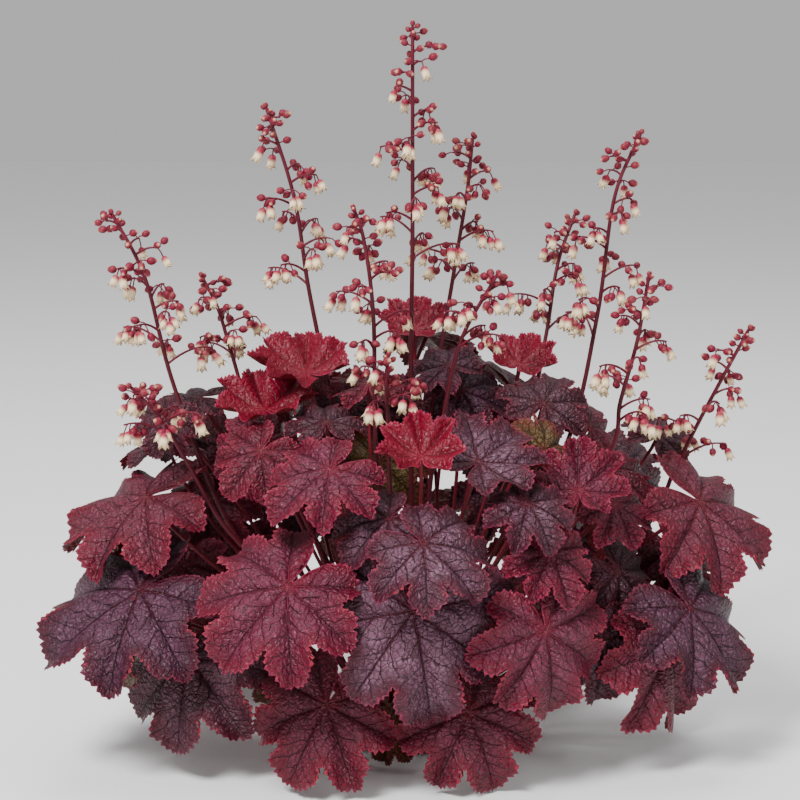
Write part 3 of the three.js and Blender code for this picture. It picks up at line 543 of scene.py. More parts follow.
def neighbours(ring):
    """Each point number of a closed ring with the next one."""
    return list(zip(ring, ring[1:] + ring[:1]))


def band(inner, outer):
    """Faces between two rings of point numbers, counted the same way; the outer ring may have
    several points for each of the inner ring's."""
    faces = []
    step = len(outer) // len(inner)
    for i, here in enumerate(inner):
        ahead = inner[(i + 1) % len(inner)]
        row = [outer[(i * step + k) % len(outer)] for k in range(step + 1)]
        if step == 1:
            faces.append((here, row[0], row[1], ahead))
            continue
        half = step // 2
        faces += [(here, row[k], row[k + 1]) for k in range(half)]
        faces.append((here, row[half], ahead))
        faces += [(ahead, row[k], row[k + 1]) for k in range(half, step)]
    return faces


def rim_count(leaf):
    """Points of the rim: a whole number of scallops, and of the inner part's columns."""
    pitch = min(TOOTH_PITCH, SMALL_TOOTH_PITCH * leaf["reach"])
    length = RIM_LENGTH * leaf["reach"]
    row = len(TOOTH_PROFILE) * TEETH_TO_A_SCALLOP
    return 2 * row * round(length / pitch / TEETH_TO_A_SCALLOP / 2)


class Growth:
    """Points, faces and marks of a piece as it is put together. A point's marks are `flat`, its place
    on the flat blade with the leaf's number, and `rim`, its gap to the rim with the leaf's reach."""

    def __init__(self):
        self.points, self.faces, self.skins, self.flat, self.rim, self.sharp = [], [], [], [], [], []
        self.count = 0

    def add(self, points, flat, rim):
        """Adds points with their marks, and gives their numbers."""
        first = self.count
        self.points.append(points)
        self.flat.append(flat)
        self.rim.append(rim)
        self.count += len(points)
        return list(range(first, self.count))

    def skin(self, faces, skin):
        self.faces += faces
        self.skins += [skin] * len(faces)


def grow_blade(growth, leaf, upper_skin, under_skin):
    """Adds one blade: an upper sheet, finest at its toothed rim, and a plainer one under it."""
    rim = smooth_rim(leaf, rim_count(leaf))
    out = outward(rim)
    toothed = toothed_rim(leaf, rim, out)
    inset = rim - out * min(HEM, leaf["reach"] * HEM_SHARE)
    columns = slice(None, None, COLUMN_STEP)

    def ring(flat, lift):
        gap = gap_to_rim(flat, toothed) if flat is not toothed else np.zeros(len(flat))
        points, normal = raised(leaf, flat, gap)
        marks = np.column_stack([flat / leaf["reach"], np.full(len(flat), leaf["seed"] * 1.7)])
        rims = np.column_stack([gap, np.full(len(flat), leaf["reach"]), np.zeros(len(flat))])
        return growth.add(points + normal * lift, marks, rims)

    middle = np.array([[1e-3, 0.0]])  # a hair beside the stalk, where the blade has a normal
    hub = ring(middle, SHEET)[0]
    rings = [ring(inset[columns] * share, SHEET) for share in INNER_SHARES]
    rings += [ring(inset * FINE_SHARE, SHEET), ring(inset, SHEET * HEM_THINNING)]
    edge = ring(toothed, 0)
    rings.append(edge)
    growth.skin([(hub, a, b) for a, b in neighbours(rings[0])], upper_skin)
    for inner, outer in zip(rings, rings[1:]):
        growth.skin(band(inner, outer), upper_skin)
    under_hub = ring(middle, -SHEET)[0]
    under = [ring(inset[columns] * share, -SHEET) for share in UNDER_SHARES] + [edge]
    growth.skin([(under_hub, b, a) for a, b in neighbours(under[0])], under_skin)
    for inner, outer in zip(under, under[1:]):
        growth.skin([face[::-1] for face in band(inner, outer)], under_skin)
    growth.sharp += neighbours(edge)


def new_object(name, data):
    made = bpy.data.objects.new(name, data)
    bpy.context.scene.collection.objects.link(made)
    return made


def new_mesh(name, points, edges, faces):
    """A mesh of points in mm."""
    mesh = bpy.data.meshes.new(name)
    mesh.from_pydata((np.array(points) * MM).tolist(), edges, faces)
    return mesh


def mark_points(mesh, mark, values):
    """Gives each point of a mesh its value, or its row of three, under a name."""
    values = np.array(values, np.float32)
    kind, field = ("FLOAT_VECTOR", "vector") if values.ndim == 2 else ("FLOAT", "value")
    mesh.attributes.new(mark, kind, "POINT").data.foreach_set(field, values.ravel())


def piece_of(name, growth, materials):
    """The object of a growth, with its materials and the marks that they read."""
    mesh = new_mesh(name, np.vstack(growth.points), [], growth.faces)
    for material in materials:
        mesh.materials.append(material)
    mesh.polygons.foreach_set("material_index", growth.skins)
    mesh.shade_smooth()
    mark_points(mesh, "flat", np.vstack(growth.flat))
    mark_points(mesh, "rim", np.vstack(growth.rim))
    keys = {(min(edge), max(edge)) for edge in growth.sharp}
    ends = np.zeros(len(mesh.edges) * 2, np.int32)
    mesh.edges.foreach_get("vertices", ends)
    sharp = mesh.attributes.new("sharp_edge", "BOOLEAN", "EDGE")
    pairs = ends.reshape(-1, 2).tolist()
    sharp.data.foreach_set("value", [(min(a, b), max(a, b)) in keys for a, b in pairs])
    return new_object(name, mesh)


# ---- nodes that grow stalks, hairs and florets --------------------------------------------------
def feed(tree, socket, source):
    """Feeds an input from another node's socket, or sets its value; None leaves it as it is."""
    if isinstance(source, bpy.types.NodeSocket):
        tree.links.new(source, socket)
    elif source is not None:
        socket.default_value = source


def add_node(tree, kind, *feeds, named=None, **settings):
    """A node with its settings made, and its inputs fed in order and by name."""
    node = tree.nodes.new(kind)
    for key, value in settings.items():
        setattr(node, key, value)
    for socket, source in zip(node.inputs, feeds):
        feed(tree, socket, source)
    for label, source in (named or {}).items():
        feed(tree, node.inputs[label], source)
    return node


def new_growth_tree(name, inputs):
    """A geometry tree with a geometry input and output, and the named inputs given."""
    tree = bpy.data.node_groups.new(name, "GeometryNodeTree")
    tree.interface.new_socket("Geometry", in_out="INPUT", socket_type="NodeSocketGeometry")
    for label, kind in inputs:
        tree.interface.new_socket(label, in_out="INPUT", socket_type=kind)
    tree.interface.new_socket("Geometry", in_out="OUTPUT", socket_type="NodeSocketGeometry")
    return tree, tree.nodes.new("NodeGroupInput"), tree.nodes.new("NodeGroupOutput")


def stalk_tree():
    """Turns lines into round stalks as thick as their `radius` mark, and sets hairs on them."""
    tree, given, result = new_growth_tree("grow_stalks", [
        ("Sides", "NodeSocketInt"), ("Hair Length", "NodeSocketFloat"), ("Hair Radius", "NodeSocketFloat"),
        ("Hair Density", "NodeSocketFloat"), ("Seed", "NodeSocketInt"),
        ("Stalk Material", "NodeSocketMaterial"), ("Hair Material", "NodeSocketMaterial")])
    get = given.outputs
    radius = add_node(tree, "GeometryNodeInputNamedAttribute", "radius", data_type="FLOAT").outputs[0]
    lines = add_node(tree, "GeometryNodeMeshToCurve", get["Geometry"])
    sized = add_node(tree, "GeometryNodeSetCurveRadius", lines.outputs[0], None, radius)
    circle = add_node(tree, "GeometryNodeCurvePrimitiveCircle", get["Sides"], named={"Radius": 1})
    tube = add_node(tree, "GeometryNodeCurveToMesh", sized.outputs[0], circle.outputs[0],
                    named={"Fill Caps": True, "Scale": radius})
    rounded_tube = add_node(tree, "GeometryNodeSetShadeSmooth", tube.outputs[0])
    spots = add_node(tree, "GeometryNodeDistributePointsOnFaces", rounded_tube.outputs[0],
                     named={"Density": get["Hair Density"], "Seed": get["Seed"]})
    hair = add_node(tree, "GeometryNodeMeshCone", fill_type="NONE",
                    named={"Vertices": 3, "Radius Top": 0, "Radius Bottom": get["Hair Radius"],
                           "Depth": get["Hair Length"]})
    lean = add_node(tree, "FunctionNodeRandomValue", (-HAIR_LEAN,) * 3, (HAIR_LEAN,) * 3,
                    named={"Seed": get["Seed"]}, data_type="FLOAT_VECTOR")
    leaning = add_node(tree, "FunctionNodeRotateRotation", spots.outputs["Rotation"], lean.outputs[0])
    length = add_node(tree, "FunctionNodeRandomValue", None, None, *HAIR_SCALES, data_type="FLOAT")
    hairs = add_node(tree, "GeometryNodeInstanceOnPoints", spots.outputs["Points"],
                     named={"Instance": hair.outputs["Mesh"], "Rotation": leaning.outputs[0],
                            "Scale": length.outputs[1]})
    loose = add_node(tree, "GeometryNodeRealizeInstances", hairs.outputs[0])
    pale = add_node(tree, "GeometryNodeSetMaterial", loose.outputs[0], None, get["Hair Material"])
    skin = add_node(tree, "GeometryNodeSetMaterial", rounded_tube.outputs[0], None, get["Stalk Material"])
    both = add_node(tree, "GeometryNodeJoinGeometry")
    tree.links.new(skin.outputs[0], both.inputs[0])
    tree.links.new(pale.outputs[0], both.inputs[0])
    tree.links.new(both.outputs[0], result.inputs[0])
    return tree


def floret_tree():
    """Sets a floret on each point, along its `axis` mark and as large as its `size` mark."""
    tree, given, result = new_growth_tree("set_florets", [
        ("Floret", "NodeSocketObject"), ("Material", "NodeSocketMaterial")])
    get = given.outputs
    axis = add_node(tree, "GeometryNodeInputNamedAttribute", "axis", data_type="FLOAT_VECTOR")
    size = add_node(tree, "GeometryNodeInputNamedAttribute", "size", data_type="FLOAT")
    shape = add_node(tree, "GeometryNodeObjectInfo", get["Floret"])
    turned = add_node(tree, "FunctionNodeAlignRotationToVector", axis="Z",
                      named={"Vector": axis.outputs[0]})
    florets = add_node(tree, "GeometryNodeInstanceOnPoints", get["Geometry"],
                       named={"Instance": shape.outputs["Geometry"], "Rotation": turned.outputs[0],
                              "Scale": size.outputs[0]})
    loose = add_node(tree, "GeometryNodeRealizeInstances", florets.outputs[0])
    skin = add_node(tree, "GeometryNodeSetMaterial", loose.outputs[0], None, get["Material"])
    tree.links.new(skin.outputs[0], result.inputs[0])
    return tree


def grown(seedling, tree, values):
    """The plain mesh object that a tree grows from a seedling object, which is used up."""
    modifier = seedling.modifiers.new("growth", "NODES")
    modifier.node_group = tree
    for item in tree.interface.items_tree:
        if item.in_out == "INPUT" and item.name in values:
            modifier[item.identifier] = values[item.name]
    bpy.context.view_layer.update()
    evaluated = seedling.evaluated_get(bpy.context.evaluated_depsgraph_get())
    mesh = bpy.data.meshes.new_from_object(evaluated)
    made = new_object(seedling.name + "_grown", mesh)
    bpy.data.objects.remove(seedling)
    return made


def line_seedling(name, lines):
    """An object of plain lines: each is points with a radius and a tint for each point."""
    points, edges, radii, tints = [], [], [], []
    for line, radius, tint in lines:
        first = len(points)
        points += list(line)
        edges += [(first + i, first + i + 1) for i in range(len(line) - 1)]
        radii += list(np.broadcast_to(radius, len(line)) * MM)
        tints += list(np.broadcast_to(tint, len(line)))
    mesh = new_mesh(name, points, edges, [])
    mark_points(mesh, "radius", radii)
    mark_points(mesh, "tint", tints)
    return new_object(name, mesh)


def point_seedling(name, places):
    """An object of loose points: each has a place, an axis and a size."""
    points, axes, sizes = zip(*places)
    mesh = new_mesh(name, points, [], [])
    mark_points(mesh, "axis", axes)
    mark_points(mesh, "size", sizes)
    return new_object(name, mesh)


def joined(name, objects):
    """One object of several, under a new name."""
    with bpy.context.temp_override(active_object=objects[0], object=objects[0],
                                   selected_objects=objects, selected_editable_objects=objects):
        bpy.ops.object.join()
    objects[0].name = name
    objects[0].data.name = name
    return objects[0]


# ---- flower stems -------------------------------------------------------------------------------
def stem_course(path, foot, count):
    """The stem's course: up from its foot, then through its own points."""
    first = path[0]
    rise = foot + (first - foot) * 0.45 + UP * np.linalg.norm(first - foot) * 0.06
    points = [foot - skin_normal(foot) * SOCKET_DEPTH, rise, *path]
    points = [2 * points[0] - points[1], *points, 2 * points[-1] - points[-2]]
    line = np.vstack([rounded(np.array(points), STEM_SAMPLES), points[-2]])
    return evenly(line, count)


def at_share(line, share):
    """Point of an even line at a share of its length."""
    place = min(max(share, 0), 1) * (len(line) - 1)
    low = min(int(place), len(line) - 2)
    return mix(line[low], line[low + 1], place - low)


def spray(stem, line, k):
    """Side branch number k: its share of the panicle, its direction and its curve. One with a half in
    its number stands midway between two of the CAD model's."""
    sprays, panicle, turn = stem[:3]
    share = k / sprays
    root = at_share(line, 1 - panicle * (1 - share))
    out = heading(turn + GOLDEN * k, 0)
    length = mix(BRANCH_LONGEST, BRANCH_SHORTEST, share)
    elbow = root + out * length * BRANCH_ELBOW[0] + UP * length * BRANCH_ELBOW[1]
    tip = root + out * length + UP * length * BRANCH_LIFT
    t = np.linspace(0, 1, BRANCH_POINTS)[:, None]
    curve = root * (1 - t)**2 + elbow * 2 * t * (1 - t) + tip * t**2
    return share, out, curve


def hang_florets(draw, share, out, curve, lines, bells, buds):
    """Adds the florets of a spray: open bells, which hang, and buds, each on its own stalk."""
    upper = share >= UPPER_SPRAYS
    for i in range(FLORETS_TO_A_SPRAY[upper]):
        root = at_share(curve, 1 - 0.1 * i - 0.12 * next(draw))
        is_open = share < OPEN_BELOW[i] and next(draw) < 0.85
        aside = (i % 2 * 2 - 1) * (30 + 80 * next(draw)) * min(i, 1)
        turn = azimuth_of(out) + aside
        if is_open:
            rise = -1.3 - 2.2 * next(draw)
        else:
            rise = 0.6 - (0.9 if upper else 2.4) * next(draw)
        axis = unit(heading(turn, 0) + UP * rise)
        neck = root + axis * (2.0 + 3.2 * next(draw))
        stalk = np.array([root, mix(root, neck, 0.5) + UP * 0.5, neck])
        lines.append((stalk, PEDICEL_RADIUS, PEDICEL_TINT))
        size = (0.85 if is_open else 1.0) + 0.2 * next(draw)
        (bells if is_open else buds).append((neck, axis, size))


def set_tip_buds(turn, line, lines, buds):
    """Adds the small buds that close in on the stem's tip, and the last one on it."""
    length = np.linalg.norm(np.diff(line, axis=0), axis=1).sum()
    for i, from_tip in enumerate(TIP_BUDS):
        root = at_share(line, 1 - from_tip / length)
        axis = heading(turn + GOLDEN * i, 35 - 3 * i)
        neck = root + axis * (1.6 + 0.25 * i)
        lines.append((np.array([root, neck]), PEDICEL_RADIUS, PEDICEL_TINT))
        buds.append((neck, axis, 0.75 + 0.05 * i))
    buds.append((line[-1], unit(line[-1] - line[-2]), 0.75))


def stem_parts(number, stem, foot):
    """Lines of one flower stem, and the places of its bells and buds."""
    path = [np.array(p, float) for p in stem[3:]]
    line = stem_course(path, foot, STEM_POINTS)
    along = np.linspace(0, 1, STEM_POINTS)
    lines = [(line, mix(STEM_RADIUS, STEM_TIP, along), along)]
    bells, buds = [], []
    draw = stream(number + FLORET_SEED)
    for half in range(2 * stem[0]):
        share, out, curve = spray(stem, line, half / 2)
        if half % 2:
            curve = mix(curve[0], curve, MIDWAY_LENGTH)
        lines.append((curve, np.linspace(*BRANCH_RADII, len(curve)), BRANCH_TINT))
        hang_florets(draw, share, out, curve, lines, bells, buds)
    set_tip_buds(stem[2], line, lines, buds)
    return lines, bells, buds


# Florets: number of sides, depth of the waves of the mouth, and rows of radius, height and how much
# of the wave they take.
FLORET_SHAPES = {
    "bell_shape": (10, 5, (
        (0.45, 0, 0), (1.9, 1.1, 0), (2.45, 3.0, 0), (2.2, 5.3, 0), (3.1, BELL_LENGTH, 0.3),
        (1.9, 5.8, 0), (1.1, 3.8, 0))),
    "bud_shape": (7, 0, (
        (0.4, 0, 0), (1.5, 0.8, 0), (2.0, 2.1, 0), (1.75, 3.3, 0), (1.05, 4.3, 0),
        (0.4, BUD_LENGTH + 0.3, 0))),
}


def turned_shape(name, sides, wave, profile):
    """A shape turned round Z from the rows of its profile, closed at both ends, with its height as
    a mark."""
    points, faces = [], []
    for radius, height, depth in profile:
        for i in range(sides):
            angle = i / sides * 2 * math.pi
            r = radius * (1 - depth * (i % 2))
            points.append((r * math.cos(angle), r * math.sin(angle), height - depth * wave * (i % 2)))
    rows = [list(range(k * sides, (k + 1) * sides)) for k in range(len(profile))]
    for low, high in zip(rows, rows[1:]):
        faces += [(low[i], low[(i + 1) % sides], high[(i + 1) % sides], high[i]) for i in range(sides)]
    faces.append(tuple(reversed(rows[0])))
    faces.append(tuple(rows[-1]))
    mesh = new_mesh(name, points, [], faces)
    mesh.shade_smooth()
    top = max(height for _, height, _ in profile)
    mark_points(mesh, "along", [height / top for _, height, _ in profile for _ in range(sides)])
    return new_object(name, mesh)


# ---- materials ----------------------------------------------------------------------------------
EMBOSS_HEIGHT = 1.2
SHEEN = 0.28  # specular level of leaves, stalks and florets


def linear(red, green, blue):
    """A colour from its display values, 0 to 255."""
    def channel(value):
        value /= 255
        return value / 12.92 if value <= 0.04045 else ((value + 0.055) / 1.055)**2.4
    return (channel(red), channel(green), channel(blue), 1)


def maths(tree, operation, *feeds):
    return add_node(tree, "ShaderNodeMath", *feeds, operation=operation).outputs[0]


def ramp(tree, value, low, high):
    """0 below low, 1 above high, and a smooth rise between; each may be a socket."""
    node = add_node(tree, "ShaderNodeMapRange", value, low, high, 0, 1, interpolation_type="SMOOTHSTEP")
    return node.outputs[0]


def mixed(tree, share, one, other):
    """A share of one colour laid over another. The mix node's sockets 6, 7 and 2 are its colours."""
    node = add_node(tree, "ShaderNodeMix", share, data_type="RGBA")
    feed(tree, node.inputs[6], one)
    feed(tree, node.inputs[7], other)
    return node.outputs[2]


def noise(tree, vector, scale, detail=2.0):
    node = add_node(tree, "ShaderNodeTexNoise", vector, named={"Scale": scale, "Detail": detail})
    return node.outputs["Fac"]


def emboss(tree, shader, height, strength):
    """Shades a surface as if a height had raised it."""
    bump = add_node(tree, "ShaderNodeBump", named={
        "Strength": strength, "Distance": EMBOSS_HEIGHT * MM, "Height": height})
    tree.links.new(bump.outputs[0], shader.inputs["Normal"])


def vein_group():
    """The veins of a blade from its marks: masks of the main veins, the side veins, the net between
    them, the bloom that lies clear of all veins, the margin, the rim and the hub, and the height."""
    tree = bpy.data.node_groups.new("blade_veins", "ShaderNodeTree")
    for label, value in (("Net Size", 3.1), ("Margin Width", 8.0), ("Rim Width", 1.0)):
        socket = tree.interface.new_socket(label, in_out="INPUT", socket_type="NodeSocketFloat")
        socket.default_value = value
    for label in ("Main", "Side", "Net", "Bloom", "Margin", "Rim", "Hub", "Height"):
        tree.interface.new_socket(label, in_out="OUTPUT", socket_type="NodeSocketFloat")
    given, result = tree.nodes.new("NodeGroupInput"), tree.nodes.new("NodeGroupOutput")

    def do(operation, *feeds):
        return maths(tree, operation, *feeds)

    def times(*feeds):
        return do("MULTIPLY", *feeds)

    def climb(value, low, high):
        return ramp(tree, value, low, high)

    def fall(value, low, high):
        return do("SUBTRACT", 1, climb(value, low, high))

    flat = add_node(tree, "ShaderNodeAttribute", attribute_name="flat")
    rim = add_node(tree, "ShaderNodeAttribute", attribute_name="rim")
    x, y, seed = add_node(tree, "ShaderNodeSeparateXYZ", flat.outputs["Vector"]).outputs
    gap, reach, _ = add_node(tree, "ShaderNodeSeparateXYZ", rim.outputs["Vector"]).outputs
    east, north = times(x, reach), times(y, reach)
    spot = add_node(tree, "ShaderNodeCombineXYZ", east, north, times(seed, 9)).outputs[0]
    wobble = do("SUBTRACT", noise(tree, spot, 0.16, 3), 0.5)

    # Main veins: how far a point lies along its nearest one and aside of it, in mm.
    share = do("SQRT", do("ADD", times(x, x), times(y, y)))
    far = times(share, reach)
    step = math.radians(LOBE_STEP)
    angle = do("ARCTAN2", y, x)
    number = do("MINIMUM", do("MAXIMUM", do("ROUND", do("DIVIDE", angle, step)), -3), 3)
    off = do("SUBTRACT", angle, times(number, step))
    along, across = times(far, do("COSINE", off)), times(far, do("SINE", off))
    aside = do("ABSOLUTE", do("MULTIPLY_ADD", wobble, 1.6, across))
    width = do("MULTIPLY_ADD", share, -0.34, 0.5)
    main = fall(aside, times(width, 0.3), width)

    # Side veins leave each main vein by turns, aslant.
    pitch = times(reach, 0.15)
    lead = do("MULTIPLY_ADD", aside, -0.8, along)
    lead = do("MULTIPLY_ADD", wobble, 7.0, lead)
    place = do("MULTIPLY_ADD", do("SIGN", across), 0.25, do("DIVIDE", lead, pitch))
    away = do("ABSOLUTE", do("SUBTRACT", do("FRACT", place), 0.5))
    away = times(away, times(pitch, 0.78))
    side = fall(away, 0.04, 0.3)
    side = times(side, climb(share, 0.06, 0.2))

    # The net between them, of wavering cells with smaller ones inside.
    bent_by = add_node(tree, "ShaderNodeTexNoise", spot, named={"Scale": 0.35})
    bent = add_node(tree, "ShaderNodeVectorMath", bent_by.outputs["Color"], (1.8, 1.8, 1.8), spot,
                    operation="MULTIPLY_ADD")

    def cells_of(fineness):
        scale = do("DIVIDE", fineness, given.outputs["Net Size"])
        node = add_node(tree, "ShaderNodeTexVoronoi", bent.outputs[0], feature="DISTANCE_TO_EDGE",
                        named={"Scale": scale})
        return node.outputs["Distance"]

    cells = cells_of(1)
    small = cells_of(2.4)
    net = fall(cells, 0.006, 0.055)
    fine = fall(small, 0.008, 0.06)
    net = do("MAXIMUM", net, times(fine, 0.3))

    # Bloom, in patches, clear of the veins and fading towards the rim.
    clear = times(climb(away, 0.02, 0.6), climb(aside, 0.2, 1.3))
    clear = times(clear, climb(cells, 0.01, 0.1))
    patchy = climb(noise(tree, spot, 0.11, 4), 0.34, 0.66)
    bloom = times(clear, do("MULTIPLY_ADD", patchy, 0.55, 0.45))
    bloom = times(bloom, climb(gap, 1.5, 10))

    # The margin inside the rim, the rim itself, and the hub over the stalk.
    rough_gap = do("MULTIPLY_ADD", wobble, 6, gap)
    margin = fall(rough_gap, 0.5, given.outputs["Margin Width"])
    edge = fall(gap, 0.3, given.outputs["Rim Width"])
    hub = fall(share, 0.03, 0.55)

    # Each cell swells a little, and the veins lie in hollows.
    dome = times(climb(cells, 0, 0.4), 0.75)
    dome = do("MULTIPLY_ADD", climb(small, 0, 0.4), 0.25, dome)
    height = do("SUBTRACT", dome, do("MAXIMUM", main, times(side, 0.8)))
    for socket, mask in zip(result.inputs, (main, side, net, bloom, margin, edge, hub, height)):
        tree.links.new(mask, socket)
    return tree


VEINS = vein_group()

# Colours of each kind of blade: its ground, the bloom between the veins and how strong that is, the
# net, the main veins near the stalk, the margin and how far in it reaches (mm), and the rim.
SKINS = {
    "silver": (
        (64, 25, 39), (128, 88, 109), 0.7, (34, 12, 22), (92, 28, 42), (78, 16, 38), 7, (126, 36, 66)),
    "pink": (
        (77, 13, 33), (125, 53, 79), 0.6, (42, 8, 22), (120, 40, 56), (108, 10, 40), 10, (148, 38, 72)),
    "plum": (
        (56, 18, 36), (110, 68, 90), 0.6, (28, 8, 18), (84, 26, 38), (74, 12, 34), 7, (114, 30, 56)),
    "rose": (
        (78, 15, 32), (128, 56, 78), 0.5, (38, 8, 20), (110, 42, 50), (104, 10, 36), 10, (142, 34, 64)),
    "dark": (
        (58, 22, 34), (108, 70, 86), 0.55, (26, 8, 16), (84, 36, 40), (74, 14, 32), 8, (104, 26, 48)),
    "red": (
        (102, 2, 24), (120, 14, 42), 0.4, (66, 0, 16), (104, 6, 25), (122, 2, 37), 14, (160, 36, 72)),
    "old": (
        (76, 54, 24), (116, 96, 54), 0.5, (38, 24, 12), (84, 40, 24), (100, 34, 26), 8, (112, 38, 38)),
}
UNDERSIDE_SKIN = (
    (96, 10, 22), (124, 28, 38), 0.5, (62, 6, 14), (124, 26, 28), (104, 12, 26), 8, (150, 44, 62))


def new_material(name, rough):
    material = bpy.data.materials.new(name)
    material.use_nodes = True
    shader = material.node_tree.nodes["Principled BSDF"]
    shader.inputs["Roughness"].default_value = rough
    return material, material.node_tree, shader


def blade_material(name, colours, rough, relief):
    """A blade's skin: a ground with a pale bloom between its veins, and a coloured margin and rim."""
    ground, bloom, strength, net, main, margin, width, rim = colours
    material, tree, shader = new_material(name, rough)
    shader.inputs["Specular IOR Level"].default_value = SHEEN
    mask = add_node(tree, "ShaderNodeGroup", node_tree=VEINS, named={"Margin Width": width}).outputs
    net = linear(*net)
    vein = mixed(tree, mask["Hub"], net, linear(*main))
    colour = linear(*ground)
    for label, share, coat in (
        ("Margin", 0.8, linear(*margin)), ("Bloom", strength, linear(*bloom)), ("Net", 0.7, net),
        ("Side", 0.7, net), ("Main", 0.9, vein), ("Rim", 0.5, linear(*rim)),
    ):
        colour = mixed(tree, maths(tree, "MULTIPLY", mask[label], share), colour, coat)
    tree.links.new(colour, shader.inputs["Base Color"])
    emboss(tree, shader, mask["Height"], relief)
    return material


def two_tone_material(name, mark, low, high, rough, start=0.0, end=1.0):
    """A colour that changes along a mark of the piece."""
    material, tree, shader = new_material(name, rough)
    shader.inputs["Specular IOR Level"].default_value = SHEEN
    along = add_node(tree, "ShaderNodeAttribute", attribute_name=mark)
    share = ramp(tree, along.outputs["Fac"], start, end)
    where = add_node(tree, "ShaderNodeTexCoord")
    patchy = maths(tree, "MULTIPLY_ADD", noise(tree, where.outputs["Object"], 220), 0.5, -0.25)
    colour = mixed(tree, maths(tree, "ADD", share, patchy), linear(*low), linear(*high))
    tree.links.new(colour, shader.inputs["Base Color"])
    return material


def crown_material():
    material, tree, shader = new_material("crown_bark", 0.85)
    where = add_node(tree, "ShaderNodeTexCoord").outputs["Object"]
    grain = noise(tree, where, 260, 6)
    colour = mixed(tree, ramp(tree, grain, 0.35, 0.65), linear(38, 22, 16), linear(92, 62, 44))
    tree.links.new(colour, shader.inputs["Base Color"])
    emboss(tree, shader, grain, 1)
    return material


# How strongly the hollows along the veins show. Young red blades are smoother.
RELIEF = 0.85
RED_RELIEF = 0.5
BLADE_SKINS = {
    kind: blade_material(f"blade_{kind}", colours, 0.4, RED_RELIEF if kind == "red" else RELIEF)
    for kind, colours in SKINS.items()
}
UNDERSIDE = blade_material("underside", UNDERSIDE_SKIN, 0.5, 0.6)
PETIOLE_SKIN = two_tone_material("petiole", "tint", (74, 3, 18), (106, 10, 31), 0.5)
STEM_SKIN = two_tone_material("flower_stalk", "tint", (74, 3, 22), (98, 18, 38), 0.5, 0.8, 1.0)
HAIR_SKIN = two_tone_material("hair", "tint", (146, 68, 78), (172, 100, 106), 0.6)
BELL_SKIN = two_tone_material("bell", "along", (146, 32, 60), (242, 216, 174), 0.5, 0.18, 0.56)
BUD_SKIN = two_tone_material("bud", "along", (116, 20, 44), (214, 160, 126), 0.5, 0.8, 1.06)
STALKS = stalk_tree()
FLORETS = floret_tree()


# ---- the pieces ---------------------------------------------------------------------------------
def dressed(piece, node):
    """Puts a piece in the place of its CAD node."""
    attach(piece, "root")
    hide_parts(node)


def haired(name, lines, sides, skin, seed):
    """Stalks with hairs, grown from their lines."""
    return grown(line_seedling(name, lines), STALKS, {
        "Sides": sides, "Hair Length": HAIR_LENGTH * MM, "Hair Radius": HAIR_RADIUS * MM,
        "Hair Density": HAIRS_PER_SQUARE_MM / MM**2, "Seed": seed, "Stalk Material": skin,
        "Hair Material": HAIR_SKIN})


def corners_of(node):
    """The corners of a CAD node, in mm, each once."""
    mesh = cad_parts[node].data
    corners = np.zeros(len(mesh.vertices) * 3)
    mesh.vertices.foreach_get("co", corners)
    return np.unique(np.round(corners.reshape(-1, 3) / MM, 2), axis=0)


def petiole_line(leaf, foot, bow):
    """The line of a petiole, wide where it sheathes the crown and where it meets the blade."""
    course = petiole_course(leaf, foot, bow, PETIOLE_POINTS)
    face = blade_axes(leaf)[0]
    course[-1] = leaf["at"] - face * SHEET
    along = np.linspace(0, 1, len(course))
    slim = PETIOLE_SLIMS[leaf["reach"] >= SMALL_REACH]
    radius = slim + SHEATH[0] * np.exp(-along / SHEATH[1]) + NECK[0] * smooth(NECK[1], 1, along)
    return course, radius, along


def grow_shoot(node, leaves, foot):
    """The leaves of one node: their blades, and their stalks with hairs."""
    corners = corners_of(node)
    kinds = list(dict.fromkeys(leaf["kind"] for leaf in leaves))
    growth = Growth()
    lines = []
    for leaf in leaves:
        placed = settled_leaf(leaf, corners)
        bow = settled_bow(placed, foot, corners)
        grow_blade(growth, placed, kinds.index(leaf["kind"]), len(kinds))
        lines.append(petiole_line(placed, foot, bow))
    blades = piece_of(node + "_blades", growth, [*(BLADE_SKINS[kind] for kind in kinds), UNDERSIDE])
    stalks = haired(node + "_stalks", lines, PETIOLE_SIDES, PETIOLE_SKIN, leaves[0]["seed"])
    dressed(joined(node + "_foliage", [blades, stalks]), node)


def grow_stem(number, stem, foot, shapes):
    node = f"flower_stem_{number + 1:02d}"
    lines, bells, buds = stem_parts(number, stem, foot)
    parts = [haired(node + "_stalks", lines, STEM_SIDES, STEM_SKIN, number + STEM_HAIR_SEED)]
    for places, shape, skin in ((bells, shapes[0], BELL_SKIN), (buds, shapes[1], BUD_SKIN)):
        if places:
            seedling = point_seedling(f"{node}_{shape.name}", places)
            parts.append(grown(seedling, FLORETS, {"Floret": shape, "Material": skin}))
    dressed(joined(node + "_in_flower", parts), node)


